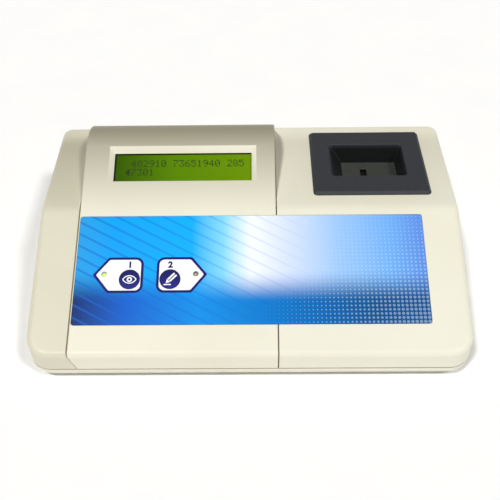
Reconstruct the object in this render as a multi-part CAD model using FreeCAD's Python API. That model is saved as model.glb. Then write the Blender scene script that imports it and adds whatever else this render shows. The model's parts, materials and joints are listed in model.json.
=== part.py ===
import FreeCAD
import Part
import math
import os

from FreeCAD import Vector

# Key cloning console, in millimetres: +X right, +Y to the rear, +Z up, origin under the middle of the
# whole object. The front slopes down from a level deck; the two meet along a line called the crease.

# Overall sizes
BODY_WIDTH = 250.0
BODY_DEPTH = 166.0
DECK_Z = 55.7
PARTING_Z = 10.0
FOOT_LIFT = 2.5
SLOPE_RUN = 84.5
SLOPE_ANGLE = 21.5
REAR_REACH = 5.0

# Casing
WALL = 2.5
FRONT_CORNER = 13.5
REAR_CORNER = 6.5
TOP_FILLET = 4.0
BASE_FILLET = 6.0
CREASE_RADIUS = 15.0
HUMP_RADIUS = 26.4
HUMP_EDGE = 1.0
REAR_FALL_ANGLE = 45.0
REAR_LIP_DROP = 3.2
REAR_LIP_FILLET = 3.0
SEAM_GAP = 0.5
SEAM_EDGE = 0.35
PARTING_CHAMFER = 0.5
LEFT_CAP_WIDTH = 23.8
DISPLAY_COVER_WIDTH = 117.5
SEAM_KINK = 4.5
SKIRT_DEPTH = 12.0

# Feet and case screws
FOOT_RADIUS = 6.0
FOOT_RECESS = 1.0
FOOT_CLEARANCE = 0.1
FOOT_SIDE_INSET = 28.0
FOOT_FRONT_INSET = 40.0
FOOT_REAR_INSET = 24.0
FOOT_EDGE = 0.6
CASE_SCREW_RADIUS = 1.45
CASE_SCREW_HEAD_RADIUS = 2.8
CASE_SCREW_HEAD = 1.8
CASE_SCREW_GRIP = 8.0
CASE_SCREW_SINK = 2.3
COVER_BOSS_RADIUS = 3.5
CASE_BOSS_RADIUS = 4.5
SCREW_CLEARANCE = 0.2
PILOT_CLEARANCE = 0.05
PILOT_END_GAP = 1.0
DRIVE_RADIUS = 0.9
DRIVE_DEPTH = 0.6

# Graphic overlay, measured along the slope (v) from the crease, with n square to it
OVERLAY_THICKNESS = 0.5
OVERLAY_LEFT_RIM = 1.2
OVERLAY_RIGHT_INSET = 23.0
OVERLAY_TOP_V = -5.8
OVERLAY_BOTTOM_V = -73.2
OVERLAY_CORNER = 1.5
OVERLAY_CLEARANCE = 0.2

# Read and write keys
KEY_MIDDLE_INSET = 67.95
KEY_PITCH = 23.3
KEY_V = -45.85
KEY_RADIUS = 5.95
KEY_HOLE_CLEARANCE = 0.2
KEY_TRAVEL = 0.5
PLUNGER_RADIUS = 5.2
PLUNGER_HEAD = 1.2
PLUNGER_STEM_RADIUS = 2.5
PLUNGER_STEM_CLEARANCE = 0.1
PLUNGER_STEM = 3.8
KEY_UNDERCUT = 0.2
GUIDE_BOSS_RADIUS = 8.2
GUIDE_BOSS_LENGTH = 2.0
SWITCH_SIZE = 6.0
SWITCH_HEIGHT = 3.5
SWITCH_STEM_RADIUS = 1.75
SWITCH_STEM_SHOW = 1.5
SWITCH_STEM_DEPTH = 1.0
SWITCH_STEM_CLEARANCE = 0.1

# Indicator lamps and keypad board
LED_SPAN = 52.8
LED_V = -42.85
LED_RADIUS = 1.5
LED_HOLE_CLEARANCE = 0.15
LED_LENGTH = 5.0
LED_FLANGE_RADIUS = 1.9
LED_FLANGE = 1.0
LED_SPACER_RADIUS = 2.3
LED_LEAD_RADIUS = 0.4
KEYPAD_BOARD_WIDTH = 76.0
KEYPAD_BOARD_HEIGHT = 26.0
KEYPAD_BOARD_V = -44.0
BOARD_THICKNESS = 1.6
POST_RADIUS = 2.4
POST_EDGE_INSET = 4.0
SMALL_SCREW_RADIUS = 1.0
SMALL_SCREW_HEAD_RADIUS = 2.0
SMALL_SCREW_HEAD = 1.2
SMALL_SCREW_GRIP = 4.0

# Display
WINDOW_WIDTH = 90.5
WINDOW_HEIGHT = 24.6
WINDOW_MIDDLE_INSET = 60.2
WINDOW_BOTTOM_V = 17.9
WINDOW_SIDE_TAPER = 2.95
WINDOW_TOP_TAPER = 3.9
WINDOW_BOTTOM_TAPER = 0.8
WINDOW_TOP_CORNER = 2.2
WINDOW_CORNER = 0.4
LENS_THICKNESS = 1.0
LENS_MARGIN = 2.0
BEZEL_LIP = 0.5
BEZEL_WALL = 0.6
BEZEL_OPENING_WIDTH = 83.6
BEZEL_OPENING_HEIGHT = 18.8
BEZEL_OPENING_RIGHT_INSET = 14.7
BEZEL_OPENING_BOTTOM_V = 19.6
GLASS_MARGIN = 1.8
GLASS_THICKNESS = 2.0
BACKLIGHT_THICKNESS = 3.0
DISPLAY_BOARD_WIDTH = 105.0
DISPLAY_BOARD_HEIGHT = 37.0

# Key pocket and its antenna
POCKET_RIGHT_INSET = 14.6
POCKET_FRONT = 9.7
POCKET_WIDTH = 71.3
POCKET_DEPTH = 61.9
POCKET_FLANGE = 2.0
POCKET_BEVEL = 1.5
POCKET_CORNER = 2.5
MOUTH_LEFT_MARGIN = 11.6
MOUTH_RIGHT_MARGIN = 12.4
MOUTH_FRONT_MARGIN = 16.3
MOUTH_REAR_MARGIN = 14.3
MOUTH_CORNER = 2.5
MOUTH_EDGE = 0.6
CAVITY_CORNER = 1.2
CAVITY_DEPTH = 14.0
CAVITY_LEFT_TAPER = 9.5
CAVITY_RIGHT_TAPER = 3.0
CAVITY_FRONT_TAPER = 2.0
CAVITY_REAR_TAPER = 1.5
POCKET_WALL = 2.5
POCKET_CLEARANCE = 0.3
SLOT_WIDTH = 4.2
SLOT_LENGTH = 8.0
SLOT_DEPTH = 2.0
SLOT_LEFT_INSET = 11.5
SLOT_REAR_INSET = 6.8
POCKET_POST_RADIUS = 2.6
POCKET_POST_INSET = 4.2
POCKET_SCREW_HEAD_RADIUS = 4.0
POCKET_SCREW_GRIP = 3.2
BOBBIN_TOP_GAP = 3.5
BOBBIN_HEIGHT = 8.0
BOBBIN_CHEEK = 1.2
BOBBIN_WALL = 1.2
COIL_BUILD = 3.0
LEAD_RADIUS = 0.7
LEAD_BEND = 4.0

# Main board and what stands on it
STANDOFF_HEIGHT = 4.0
STANDOFF_RADIUS = 3.5
STANDOFF_INSET = 5.0
MAIN_BOARD_FRONT = 39.5
MAIN_BOARD_SIDE_GAP = 15.2
MAIN_BOARD_WALL_GAP = 0.5
CHIP_SIZE = 14.0
CHIP_FRONT = 4.5
CHIP_HEIGHT = 1.6
MEMORY_WIDTH = 5.0
MEMORY_LENGTH = 8.0
REGULATOR_WIDTH = 10.0
REGULATOR_THICKNESS = 4.5
REGULATOR_HEIGHT = 15.0
HEATSINK_WIDTH = 16.0
HEATSINK_HEIGHT = 18.0
FIN_COUNT = 5
FIN_LENGTH = 8.0
FIN_THICKNESS = 1.2
HEATSINK_BASE = 1.6
CAPACITOR_RADIUS = 4.0
CAPACITOR_HEIGHT = 11.5
CAPACITOR_PITCH = 12.0
CRYSTAL_LENGTH = 11.0
CRYSTAL_WIDTH = 4.6
CRYSTAL_HEIGHT = 3.6
BUZZER_RADIUS = 6.0
BUZZER_HEIGHT = 7.5
BUZZER_HOLE_RADIUS = 1.0
RIBBON_WIDTH = 20.0
RIBBON_THICKNESS = 0.9
RIBBON_BEND = 4.0
RIBBON_STRAIGHT = 6.0
HEADER_DEPTH = 5.0
BOARD_HEADER_HEIGHT = 2.5
MAIN_HEADER_HEIGHT = 6.0

# Rear connectors
INLET_INSET = 53.0
INLET_WIDTH = 9.0
INLET_LENGTH = 14.0
INLET_HEIGHT = 11.0
INLET_NOSE_RADIUS = 4.2
INLET_NOSE_SHOW = 0.6
INLET_BORE_RADIUS = 2.85
INLET_BORE_DEPTH = 9.5
INLET_PIN_RADIUS = 1.0
CONNECTOR_CLEARANCE = 0.2
PORT_INSET = 82.0
PORT_FLANGE_WIDTH = 30.8
PORT_FLANGE_HEIGHT = 12.5
PORT_FLANGE = 0.8
PORT_SHELL_WIDTH = 16.9
PORT_SHELL_HEIGHT = 8.3
PORT_SHELL_TAPER = 10.0
PORT_SHELL_CORNER = 1.6
PORT_SHELL_SHEET = 0.5
PORT_SHELL_LENGTH = 6.0
PORT_BODY_LENGTH = 10.0
PORT_CONTACT_RADIUS = 0.55
PORT_CONTACT_DEPTH = 4.0
PORT_CONTACT_PITCH = 2.77
PORT_ROW_PITCH = 2.84
PORT_TOP_ROW = 5
JACKSCREW_SPACING = 24.99
JACKSCREW_FLATS = 4.75
JACKSCREW_BORE = 1.25
JACKSCREW_STUD_RADIUS = 1.4

# Power switch
SWITCH_INSET = 25.0
SWITCH_Z = 30.0
FRAME_WIDTH = 15.0
FRAME_HEIGHT = 21.0
FRAME_FLANGE = 2.0
FRAME_BODY_MARGIN = 1.0
FRAME_BODY_DEPTH = 8.0
FRAME_BACK = 1.5
ROCKER_WIDTH = 10.0
ROCKER_HALF_LENGTH = 6.9
ROCKER_FACE_REACH = 1.5
ROCKER_BACK_REACH = 3.0
ROCKER_BACK_HALF = 4.6
ROCKER_HALF_SWING = 8.0
ROCKER_CLEARANCE = 0.5
ROCKER_PIVOT_DROP = 1.3
PIVOT_RADIUS = 1.2
PIVOT_LENGTH = 0.9
PIVOT_CLEARANCE = 0.05
SWITCH_LEAD_PITCH = 5.0

# Places worked out from the sizes above
TAN = math.tan(math.radians(SLOPE_ANGLE))
COS = math.cos(math.radians(SLOPE_ANGLE))
FALL_TAN = math.tan(math.radians(REAR_FALL_ANGLE))
FALL_COS = math.cos(math.radians(REAR_FALL_ANGLE))
HALF_WIDTH = BODY_WIDTH / 2
FRONT_Y = -(BODY_DEPTH + REAR_REACH) / 2
REAR_Y = FRONT_Y + BODY_DEPTH
CREASE_Y = FRONT_Y + SLOPE_RUN
REAR_INSIDE_Y = REAR_Y - WALL
SEAM_LEFT = LEFT_CAP_WIDTH - HALF_WIDTH
SEAM_RIGHT = SEAM_LEFT + DISPLAY_COVER_WIDTH
DISPLAY_LEFT = SEAM_LEFT + SEAM_GAP / 2
DISPLAY_RIGHT = SEAM_RIGHT - SEAM_GAP / 2
FLOOR_Z = FOOT_LIFT + WALL
BOARD_Z = FLOOR_Z + STANDOFF_HEIGHT
BOARD_TOP = BOARD_Z + BOARD_THICKNESS
KEY_MIDDLE = KEY_MIDDLE_INSET - HALF_WIDTH
KEY_X = {"read": KEY_MIDDLE - KEY_PITCH / 2, "write": KEY_MIDDLE + KEY_PITCH / 2}
LED_X = {"read": KEY_MIDDLE - LED_SPAN / 2, "write": KEY_MIDDLE + LED_SPAN / 2}
PLUNGER_N = -OVERLAY_THICKNESS - PLUNGER_HEAD
STEM_TIP_N = PLUNGER_N - PLUNGER_STEM
COUNTERBORE_N = PLUNGER_N - KEY_TRAVEL - KEY_UNDERCUT
SWITCH_TOP_N = STEM_TIP_N - SWITCH_STEM_SHOW
KEYPAD_N = SWITCH_TOP_N - SWITCH_HEIGHT
WINDOW_X = DISPLAY_LEFT + WINDOW_MIDDLE_INSET
LENS_N = -WALL - LENS_THICKNESS
BEZEL_N = LENS_N - BEZEL_LIP
GLASS_N = BEZEL_N - GLASS_THICKNESS
DISPLAY_N = GLASS_N - BACKLIGHT_THICKNESS
BEZEL_RIGHT = DISPLAY_RIGHT - BEZEL_OPENING_RIGHT_INSET
BEZEL_X = BEZEL_RIGHT - BEZEL_OPENING_WIDTH / 2
BEZEL_V = BEZEL_OPENING_BOTTOM_V + BEZEL_OPENING_HEIGHT / 2
POCKET_X1 = HALF_WIDTH - POCKET_RIGHT_INSET
POCKET_X0 = POCKET_X1 - POCKET_WIDTH
POCKET_Y0 = CREASE_Y + POCKET_FRONT
POCKET_Y1 = POCKET_Y0 + POCKET_DEPTH
MOUTH = (POCKET_X0 + MOUTH_LEFT_MARGIN, POCKET_X1 - MOUTH_RIGHT_MARGIN,
         POCKET_Y0 + MOUTH_FRONT_MARGIN, POCKET_Y1 - MOUTH_REAR_MARGIN)
POCKET_TOP = DECK_Z + POCKET_FLANGE
POCKET_FLOOR = POCKET_TOP - CAVITY_DEPTH
BOBBIN_TOP = DECK_Z - WALL - BOBBIN_TOP_GAP
BOARD_X0 = DISPLAY_LEFT + MAIN_BOARD_SIDE_GAP
BOARD_X1 = DISPLAY_RIGHT - MAIN_BOARD_SIDE_GAP
BOARD_Y1 = REAR_INSIDE_Y - MAIN_BOARD_WALL_GAP
BOARD_Y0 = CREASE_Y - MAIN_BOARD_FRONT
MAIN_BOARD_LENGTH = BOARD_Y1 - BOARD_Y0
INLET_X = DISPLAY_LEFT + INLET_INSET
INLET_Z = BOARD_TOP + INLET_HEIGHT / 2
PORT_X = DISPLAY_LEFT + PORT_INSET
PORT_Z = BOARD_TOP + PORT_FLANGE_HEIGHT / 2
SWITCH_X = DISPLAY_LEFT + SWITCH_INSET
PIVOT_Y = REAR_Y + FRAME_FLANGE - ROCKER_PIVOT_DROP

CASE_SCREWS = {
    "left": ((12.0 - HALF_WIDTH, FRONT_Y + 38.5), (12.0 - HALF_WIDTH, REAR_Y - 19.0)),
    "display": ((DISPLAY_LEFT + 8.2, FRONT_Y + 22.5), (DISPLAY_RIGHT - 8.2, FRONT_Y + 22.5),
                (DISPLAY_LEFT + 8.2, REAR_Y - 8.0), (DISPLAY_RIGHT - 8.2, REAR_Y - 8.0)),
    "reader": ((SEAM_RIGHT + 8.7, FRONT_Y + 22.5), (HALF_WIDTH - 13.0, FRONT_Y + 22.5),
               (SEAM_RIGHT + 8.7, REAR_Y - 8.0), (HALF_WIDTH - 13.0, REAR_Y - 8.0)),
}
ALL_CASE_SCREWS = [place for group in CASE_SCREWS.values() for place in group]
FEET = [(side * (HALF_WIDTH - FOOT_SIDE_INSET), y)
        for side in (-1, 1) for y in (FRONT_Y + FOOT_FRONT_INSET, REAR_Y - FOOT_REAR_INSET)]


def box(x0, x1, y0, y1, z0, z1):
    """Block between two corners."""
    return Part.makeBox(x1 - x0, y1 - y0, z1 - z0, Vector(x0, y0, z0))


def rod(x, y, z0, z1, radius):
    """Upright cylinder."""
    return Part.makeCylinder(radius, z1 - z0, Vector(x, y, z0))


def rod_y(x, z, y0, y1, radius):
    """Cylinder along Y."""
    return Part.makeCylinder(radius, y1 - y0, Vector(x, y0, z), Vector(0, 1, 0))


def fuse(first, *others):
    """Several shapes as one solid, with split faces merged."""
    return first.multiFuse(list(others)).removeSplitter()


def cut(body, *tools):
    """A body with all the tools taken out of it."""
    return body.cut(list(tools))


def group(shapes):
    """Separate solids kept together."""
    return Part.makeCompound(list(shapes))


def corner_arc(corner, before, after, radius):
    """Start, middle and end of the arc that rounds one corner."""
    back = (before - corner).normalize()
    ahead = (after - corner).normalize()
    half = back.getAngle(ahead) / 2
    bisector = (back + ahead).normalize()
    setback = radius / math.tan(half)
    return (corner + back * setback, corner + bisector * (radius / math.sin(half) - radius),
            corner + ahead * setback)


def rounded_edges(points, radii, closed):
    """Straight edges through the points, joined by an arc wherever a corner has a radius."""
    count = len(points)
    stops = []
    for i, point in enumerate(points):
        at_end = not closed and i in (0, count - 1)
        if at_end or not radii[i]:
            stops.append((point, None, point))
        else:
            stops.append(corner_arc(point, points[i - 1], points[(i + 1) % count], radii[i]))
    edges = []
    for i, (start, middle, end) in enumerate(stops):
        if middle:
            edges.append(Part.Arc(start, middle, end).toShape())
        if closed or i < count - 1:
            edges.append(Part.LineSegment(end, stops[(i + 1) % count][0]).toShape())
    return edges


def prism_x(outline, radii, x0, x1):
    """Solid from x0 to x1 with a rounded outline of (y, z) points."""
    points = [Vector(x0, y, z) for y, z in outline]
    face = Part.Face(Part.Wire(rounded_edges(points, radii, True)))
    return face.extrude(Vector(x1 - x0, 0, 0))


def prism_z(outline, radii, z0, z1):
    """Solid from z0 to z1 with a rounded outline of (x, y) points."""
    points = [Vector(x, y, z0) for x, y in outline]
    face = Part.Face(Part.Wire(rounded_edges(points, radii, True)))
    return face.extrude(Vector(0, 0, z1 - z0))


def rounded_block(x0, x1, y0, y1, z0, z1, radius):
    """Block with rounded upright corners."""
    return prism_z(((x0, y0), (x1, y0), (x1, y1), (x0, y1)), (radius,) * 4, z0, z1)


def frustum(low, low_radii, z0, high, high_radii, z1):
    """Tapered solid between two (x0, x1, y0, y1) rectangles with rounded corners."""
    wires = []
    for (x0, x1, y0, y1), radii, z in ((low, low_radii, z0), (high, high_radii, z1)):
        corners = [Vector(x0, y0, z), Vector(x1, y0, z), Vector(x1, y1, z), Vector(x0, y1, z)]
        wires.append(Part.Wire(rounded_edges(corners, radii, True)))
    return Part.makeLoft(wires, True, True)


def tube(points, radius, bend):
    """Round wire along straight runs joined by arcs."""
    path = Part.Wire(rounded_edges(points, [bend] * len(points), False))
    along = (points[1] - points[0]).normalize()
    section = Part.Wire(Part.makeCircle(radius, points[0], along))
    return path.makePipeShell([section], True, True)


def on_slope(shape):
    """Move a shape drawn in slope axes (x, v, n) to its place on the sloping front."""
    turn = FreeCAD.Rotation(Vector(1, 0, 0), SLOPE_ANGLE)
    moved = shape.copy()
    moved.Placement = FreeCAD.Placement(Vector(0, CREASE_Y, DECK_Z), turn).multiply(moved.Placement)
    return moved


def slope_point(v, n):
    """The (y, z) place of a point given along the slope and square to it."""
    angle = math.radians(SLOPE_ANGLE)
    return (CREASE_Y + v * math.cos(angle) - n * math.sin(angle),
            DECK_Z + v * math.sin(angle) + n * math.cos(angle))


def slope_z(y, inset):
    """Height of the sloping front, or of a plane set in below it."""
    return DECK_Z + (y - CREASE_Y) * TAN - inset / COS


def plan_block(inset, z0, z1):
    """The casing's rounded plan, set in from the outside, as an upright solid."""
    x = HALF_WIDTH - inset
    corners = ((-x, FRONT_Y + inset), (x, FRONT_Y + inset), (x, REAR_Y - inset), (-x, REAR_Y - inset))
    radii = (FRONT_CORNER - inset, FRONT_CORNER - inset, REAR_CORNER - inset, REAR_CORNER - inset)
    return prism_z(corners, radii, z0, z1)


def casing(inset, floor_z):
    """The wedge that the end cap and the reader cover are cut from, set in from the outside."""
    front = FRONT_Y + inset
    rear = REAR_Y - inset
    crease = CREASE_Y + inset * (1 / COS - 1) / TAN
    outline = ((front, floor_z), (front, slope_z(front, inset)), (crease, DECK_Z - inset),
               (rear, DECK_Z - inset), (rear, floor_z))
    radii = (0, 0, CREASE_RADIUS - inset, 0, 0)
    solid = prism_x(outline, radii, -HALF_WIDTH, HALF_WIDTH).common(plan_block(inset, floor_z, 2 * DECK_Z))
    rim = []
    for edge in solid.Edges:
        bounds = edge.BoundBox
        upright = bounds.XLength + bounds.YLength < 0.001
        across_top = bounds.XLength > BODY_WIDTH / 2 and front + 1 < bounds.YMin and bounds.YMax < rear - 1
        if bounds.ZMax > floor_z + 0.001 and not upright and not across_top:
            rim.append(edge)
    return solid.makeFillet(TOP_FILLET - inset, rim)


def hump(inset, floor_z, x0, x1):
    """The display cover's outer shape, set in from the outside, between two X planes."""
    front = FRONT_Y + inset
    rear = REAR_Y - inset
    lip = DECK_Z - REAR_LIP_DROP
    peak = ((lip + REAR_Y * FALL_TAN - inset / FALL_COS) - (DECK_Z - CREASE_Y * TAN - inset / COS)) \
        / (TAN + FALL_TAN)
    rear_top = lip + inset * FALL_TAN - inset / FALL_COS
    outline = ((front, floor_z), (front, slope_z(front, inset)), (peak, slope_z(peak, inset)),
               (rear, rear_top), (rear, floor_z))
    radii = (0, TOP_FILLET - inset, HUMP_RADIUS - inset, max(REAR_LIP_FILLET - inset, 0), 0)
    return prism_x(outline, radii, x0, x1)


def seam_side(seam, gap, side, kink):
    """Everything on one side of a seam; a kinked seam leans to the right below the front edge."""
    bend_z = slope_z(FRONT_Y, 0)
    reach = side * BODY_WIDTH
    edge = seam + side * gap / 2
    low = edge + kink
    outline = ((low, PARTING_Z - WALL), (low, PARTING_Z), (edge, bend_z), (edge, 2 * DECK_Z),
               (edge + reach, 2 * DECK_Z), (edge + reach, PARTING_Z - WALL))
    points = [Vector(x, FRONT_Y - WALL, z) for x, z in outline]
    face = Part.Face(Part.makePolygon(points + points[:1]))
    return face.extrude(Vector(0, BODY_DEPTH + 2 * WALL, 0))


def cover_bosses(places, inner):
    """Screw bosses under a cover, reaching from the parting line up into its wall, and their pilots."""
    bosses = [rod(x, y, PARTING_Z, 2 * DECK_Z, COVER_BOSS_RADIUS).common(inner) for x, y in places]
    top = PARTING_Z + CASE_SCREW_GRIP + PILOT_END_GAP
    pilots = [rod(x, y, PARTING_Z - 1, top, CASE_SCREW_RADIUS + PILOT_CLEARANCE) for x, y in places]
    return bosses, pilots


def overlay_left():
    return SEAM_LEFT + OVERLAY_LEFT_RIM


def overlay_right():
    return HALF_WIDTH - OVERLAY_RIGHT_INSET


def overlay_recess():
    """Shallow seat for the graphic overlay, cut into both covers."""
    room = OVERLAY_CLEARANCE
    return on_slope(rounded_block(overlay_left() - room, overlay_right() + room, OVERLAY_BOTTOM_V - room,
                                  OVERLAY_TOP_V + room, -OVERLAY_THICKNESS, WALL, OVERLAY_CORNER + room))


def parting_eased(solid):
    """Chamfer the outer edge of a casing block where it meets the lower case."""
    low = [edge for edge in solid.Edges if edge.BoundBox.ZMax < PARTING_Z + 0.001]
    return solid.makeChamfer(PARTING_CHAMFER, low)


def end_shell(seam, side, kink):
    """Shell on one side of a seam, with the edges along the seam rounded."""
    block = parting_eased(casing(0, PARTING_Z)).common(seam_side(seam, SEAM_GAP, side, kink))
    facing = [face for face in block.Faces if face.normalAt(0, 0).x * side < -0.9]
    edges = [edge for face in facing for edge in face.Edges]
    rim = []
    for edge in edges:
        alone = sum(edge.isSame(other) for other in edges) == 1
        bounds = edge.BoundBox
        if alone and (bounds.ZMin > PARTING_Z + 2 * PARTING_CHAMFER or bounds.ZLength > TOP_FILLET):
            rim.append(edge)
    return block.makeFillet(SEAM_EDGE, rim).cut(casing(WALL, PARTING_Z - WALL))


def left_end_cap():
    shell = end_shell(SEAM_LEFT, -1, SEAM_KINK)
    bosses, pilots = cover_bosses(CASE_SCREWS["left"], casing(WALL / 2, PARTING_Z))
    return cut(fuse(shell, *bosses), *pilots)


def pocket_body(room):
    """Outer (x0, x1, y0, y1) of the pocket's body below the deck, with some room round it."""
    x0, x1, y0, y1 = MOUTH
    reach = POCKET_WALL + room
    return x0 - reach, x1 + reach, y0 - reach, y1 + reach


def pocket_post_places():
    inset = POCKET_POST_INSET
    return [(x, y) for x in (POCKET_X0 + inset, POCKET_X1 - inset)
            for y in (POCKET_Y0 + inset, POCKET_Y1 - inset)]


def reader_cover():
    shell = end_shell(SEAM_RIGHT, 1, 0)
    bosses, pilots = cover_bosses(CASE_SCREWS["reader"], casing(WALL / 2, PARTING_Z))
    hole = box(*pocket_body(POCKET_CLEARANCE), DECK_Z - 2 * WALL, DECK_Z + WALL)
    posts = [rod(x, y, DECK_Z - 2 * WALL, DECK_Z + WALL, POCKET_POST_RADIUS + POCKET_CLEARANCE)
             for x, y in pocket_post_places()]
    return cut(fuse(shell, *bosses), hole, overlay_recess(), *posts, *pilots)


def key_hole(x):
    """Counterbore for one key's head and the guide hole for its stem, in slope axes."""
    head = rod(x, KEY_V, COUNTERBORE_N, WALL, KEY_RADIUS + KEY_HOLE_CLEARANCE)
    stem = rod(x, KEY_V, 2 * STEM_TIP_N, WALL, PLUNGER_STEM_RADIUS + PLUNGER_STEM_CLEARANCE)
    return head.fuse(stem)


def corner_places(x, v, width, height):
    """Four fixing places near the corners of a board."""
    dx = width / 2 - POST_EDGE_INSET
    dv = height / 2 - POST_EDGE_INSET
    return [(x + sx * dx, v + sv * dv) for sx in (-1, 1) for sv in (-1, 1)]


def keypad_places():
    return corner_places(KEY_MIDDLE, KEYPAD_BOARD_V, KEYPAD_BOARD_WIDTH, KEYPAD_BOARD_HEIGHT)


def display_places():
    return corner_places(BEZEL_X, BEZEL_V, DISPLAY_BOARD_WIDTH, DISPLAY_BOARD_HEIGHT)


def window_cut():
    """Bevelled window through the display cover, and the space above it, in slope axes."""
    half = WINDOW_WIDTH / 2
    top = (WINDOW_X - half, WINDOW_X + half, WINDOW_BOTTOM_V, WINDOW_BOTTOM_V + WINDOW_HEIGHT)
    base = (top[0] + WINDOW_SIDE_TAPER, top[1] - WINDOW_SIDE_TAPER, top[2] + WINDOW_BOTTOM_TAPER,
            top[3] - WINDOW_TOP_TAPER)
    top_radii = (WINDOW_CORNER, WINDOW_CORNER, WINDOW_TOP_CORNER, WINDOW_TOP_CORNER)
    base_radii = (WINDOW_CORNER,) * 4
    rectangle = ((top[0], top[2]), (top[1], top[2]), (top[1], top[3]), (top[0], top[3]))
    return frustum(base, base_radii, -WALL, top, top_radii, 0), prism_z(rectangle, top_radii, 0, WALL)


def display_cover():
    outer = hump(0, PARTING_Z, DISPLAY_LEFT, DISPLAY_RIGHT)
    sides = [edge for edge in outer.Edges
             if edge.BoundBox.XLength < 0.001 and edge.BoundBox.ZMax > PARTING_Z + 0.001]
    outer = outer.makeFillet(HUMP_EDGE, sides)
    across = [edge for edge in outer.Edges
              if edge.BoundBox.ZMax < PARTING_Z + 0.001 and edge.BoundBox.XLength > DISPLAY_COVER_WIDTH / 2]
    outer = outer.makeChamfer(PARTING_CHAMFER, across)
    shell = outer.cut(hump(WALL, PARTING_Z - WALL, DISPLAY_LEFT + WALL, DISPLAY_RIGHT - WALL))
    under_skirt = box(DISPLAY_LEFT - 1, DISPLAY_RIGHT + 1, FRONT_Y + WALL, REAR_INSIDE_Y, 0, 2 * DECK_Z)
    skirt_z = DECK_Z - SKIRT_DEPTH
    below = ((FRONT_Y, 0), (FRONT_Y, slope_z(FRONT_Y, 0) - SKIRT_DEPTH), (CREASE_Y, skirt_z),
             (REAR_Y, skirt_z), (REAR_Y, 0))
    low = prism_x(below, (0,) * 5, DISPLAY_LEFT - 1, DISPLAY_RIGHT + 1)
    shell = shell.cut(low.common(under_skirt)).common(seam_side(SEAM_LEFT, SEAM_GAP, 1, SEAM_KINK))
    inner = hump(WALL / 2, PARTING_Z, DISPLAY_LEFT + WALL / 2, DISPLAY_RIGHT - WALL / 2)
    bosses, pilots = cover_bosses(CASE_SCREWS["display"], inner)
    into_wall = -WALL / 2 - OVERLAY_THICKNESS
    for x, v in keypad_places():
        bosses.append(on_slope(rod(x, v, KEYPAD_N, into_wall, POST_RADIUS)))
        pilots.append(on_slope(rod(x, v, KEYPAD_N - 1, KEYPAD_N + SMALL_SCREW_GRIP + PILOT_END_GAP,
                                   SMALL_SCREW_RADIUS + PILOT_CLEARANCE)))
    for x, v in display_places():
        bosses.append(on_slope(rod(x, v, DISPLAY_N, into_wall, POST_RADIUS)))
        pilots.append(on_slope(rod(x, v, DISPLAY_N - 1, DISPLAY_N + SMALL_SCREW_GRIP + PILOT_END_GAP,
                                   SMALL_SCREW_RADIUS + PILOT_CLEARANCE)))
    for x in KEY_X.values():
        bosses.append(on_slope(rod(x, KEY_V, -WALL - GUIDE_BOSS_LENGTH, into_wall, GUIDE_BOSS_RADIUS)))
        pilots.append(on_slope(key_hole(x)))
    for x in LED_X.values():
        pilots.append(on_slope(rod(x, LED_V, 2 * STEM_TIP_N, WALL, LED_RADIUS + LED_HOLE_CLEARANCE)))
    rear = [inlet_hole(), port_hole(), switch_hole()]
    return cut(fuse(shell, *bosses), overlay_recess(), *map(on_slope, window_cut()), *pilots, *rear)


def lower_case():
    outer = plan_block(0, FOOT_LIFT, PARTING_Z)
    base_edges = [edge for edge in outer.Edges if edge.BoundBox.ZMax < FOOT_LIFT + 0.001]
    outer = outer.makeFillet(BASE_FILLET, base_edges)
    rim_edges = [edge for edge in outer.Edges if edge.BoundBox.ZMin > PARTING_Z - 0.001]
    outer = outer.makeChamfer(PARTING_CHAMFER, rim_edges)
    inner = plan_block(WALL, FLOOR_Z, PARTING_Z + 1)
    inner_edges = [edge for edge in inner.Edges if edge.BoundBox.ZMax < FLOOR_Z + 0.001]
    tray = outer.cut(inner.makeFillet(BASE_FILLET - WALL, inner_edges))
    bosses = [rod(x, y, FLOOR_Z - WALL / 2, PARTING_Z, CASE_BOSS_RADIUS) for x, y in ALL_CASE_SCREWS]
    bosses += [rod(x, y, FLOOR_Z - WALL / 2, BOARD_Z, STANDOFF_RADIUS) for x, y in standoff_places()]
    holes = [rod(x, y, 0, DECK_Z, CASE_SCREW_RADIUS + SCREW_CLEARANCE) for x, y in ALL_CASE_SCREWS]
    holes += [rod(x, y, 0, FOOT_LIFT + CASE_SCREW_SINK, CASE_SCREW_HEAD_RADIUS + SCREW_CLEARANCE)
              for x, y in ALL_CASE_SCREWS]
    holes += [rod(x, y, BOARD_Z - SMALL_SCREW_GRIP - PILOT_END_GAP, BOARD_Z + 1,
                  SMALL_SCREW_RADIUS + PILOT_CLEARANCE) for x, y in standoff_places()]
    holes += [rod(x, y, 0, FOOT_LIFT + FOOT_RECESS, FOOT_RADIUS + FOOT_CLEARANCE) for x, y in FEET]
    return cut(fuse(tray, *bosses), *holes)


def rubber_feet():
    feet = []
    for x, y in FEET:
        foot = rod(x, y, 0, FOOT_LIFT + FOOT_RECESS, FOOT_RADIUS)
        low = [edge for edge in foot.Edges if edge.BoundBox.ZMax < 0.001]
        feet.append(foot.makeFillet(FOOT_EDGE, low))
    return group(feet)


def screw(radius, grip, head_radius, head):
    """Screw standing on its head: shank up from z = 0, head below, with a drive recess."""
    shank = rod(0, 0, 0, grip, radius)
    cap = rod(0, 0, -head, 0, head_radius)
    drive = rod(0, 0, -head, DRIVE_DEPTH - head, DRIVE_RADIUS)
    return cut(fuse(shank, cap), drive)


def placed(shape, x, y, z):
    """Copy of a shape moved to a place."""
    moved = shape.copy()
    moved.translate(Vector(x, y, z))
    return moved


def case_screws():
    seat = FOOT_LIFT + CASE_SCREW_SINK
    one = screw(CASE_SCREW_RADIUS, PARTING_Z + CASE_SCREW_GRIP - seat, CASE_SCREW_HEAD_RADIUS,
                CASE_SCREW_HEAD)
    return group(placed(one, x, y, seat) for x, y in ALL_CASE_SCREWS)


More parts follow.
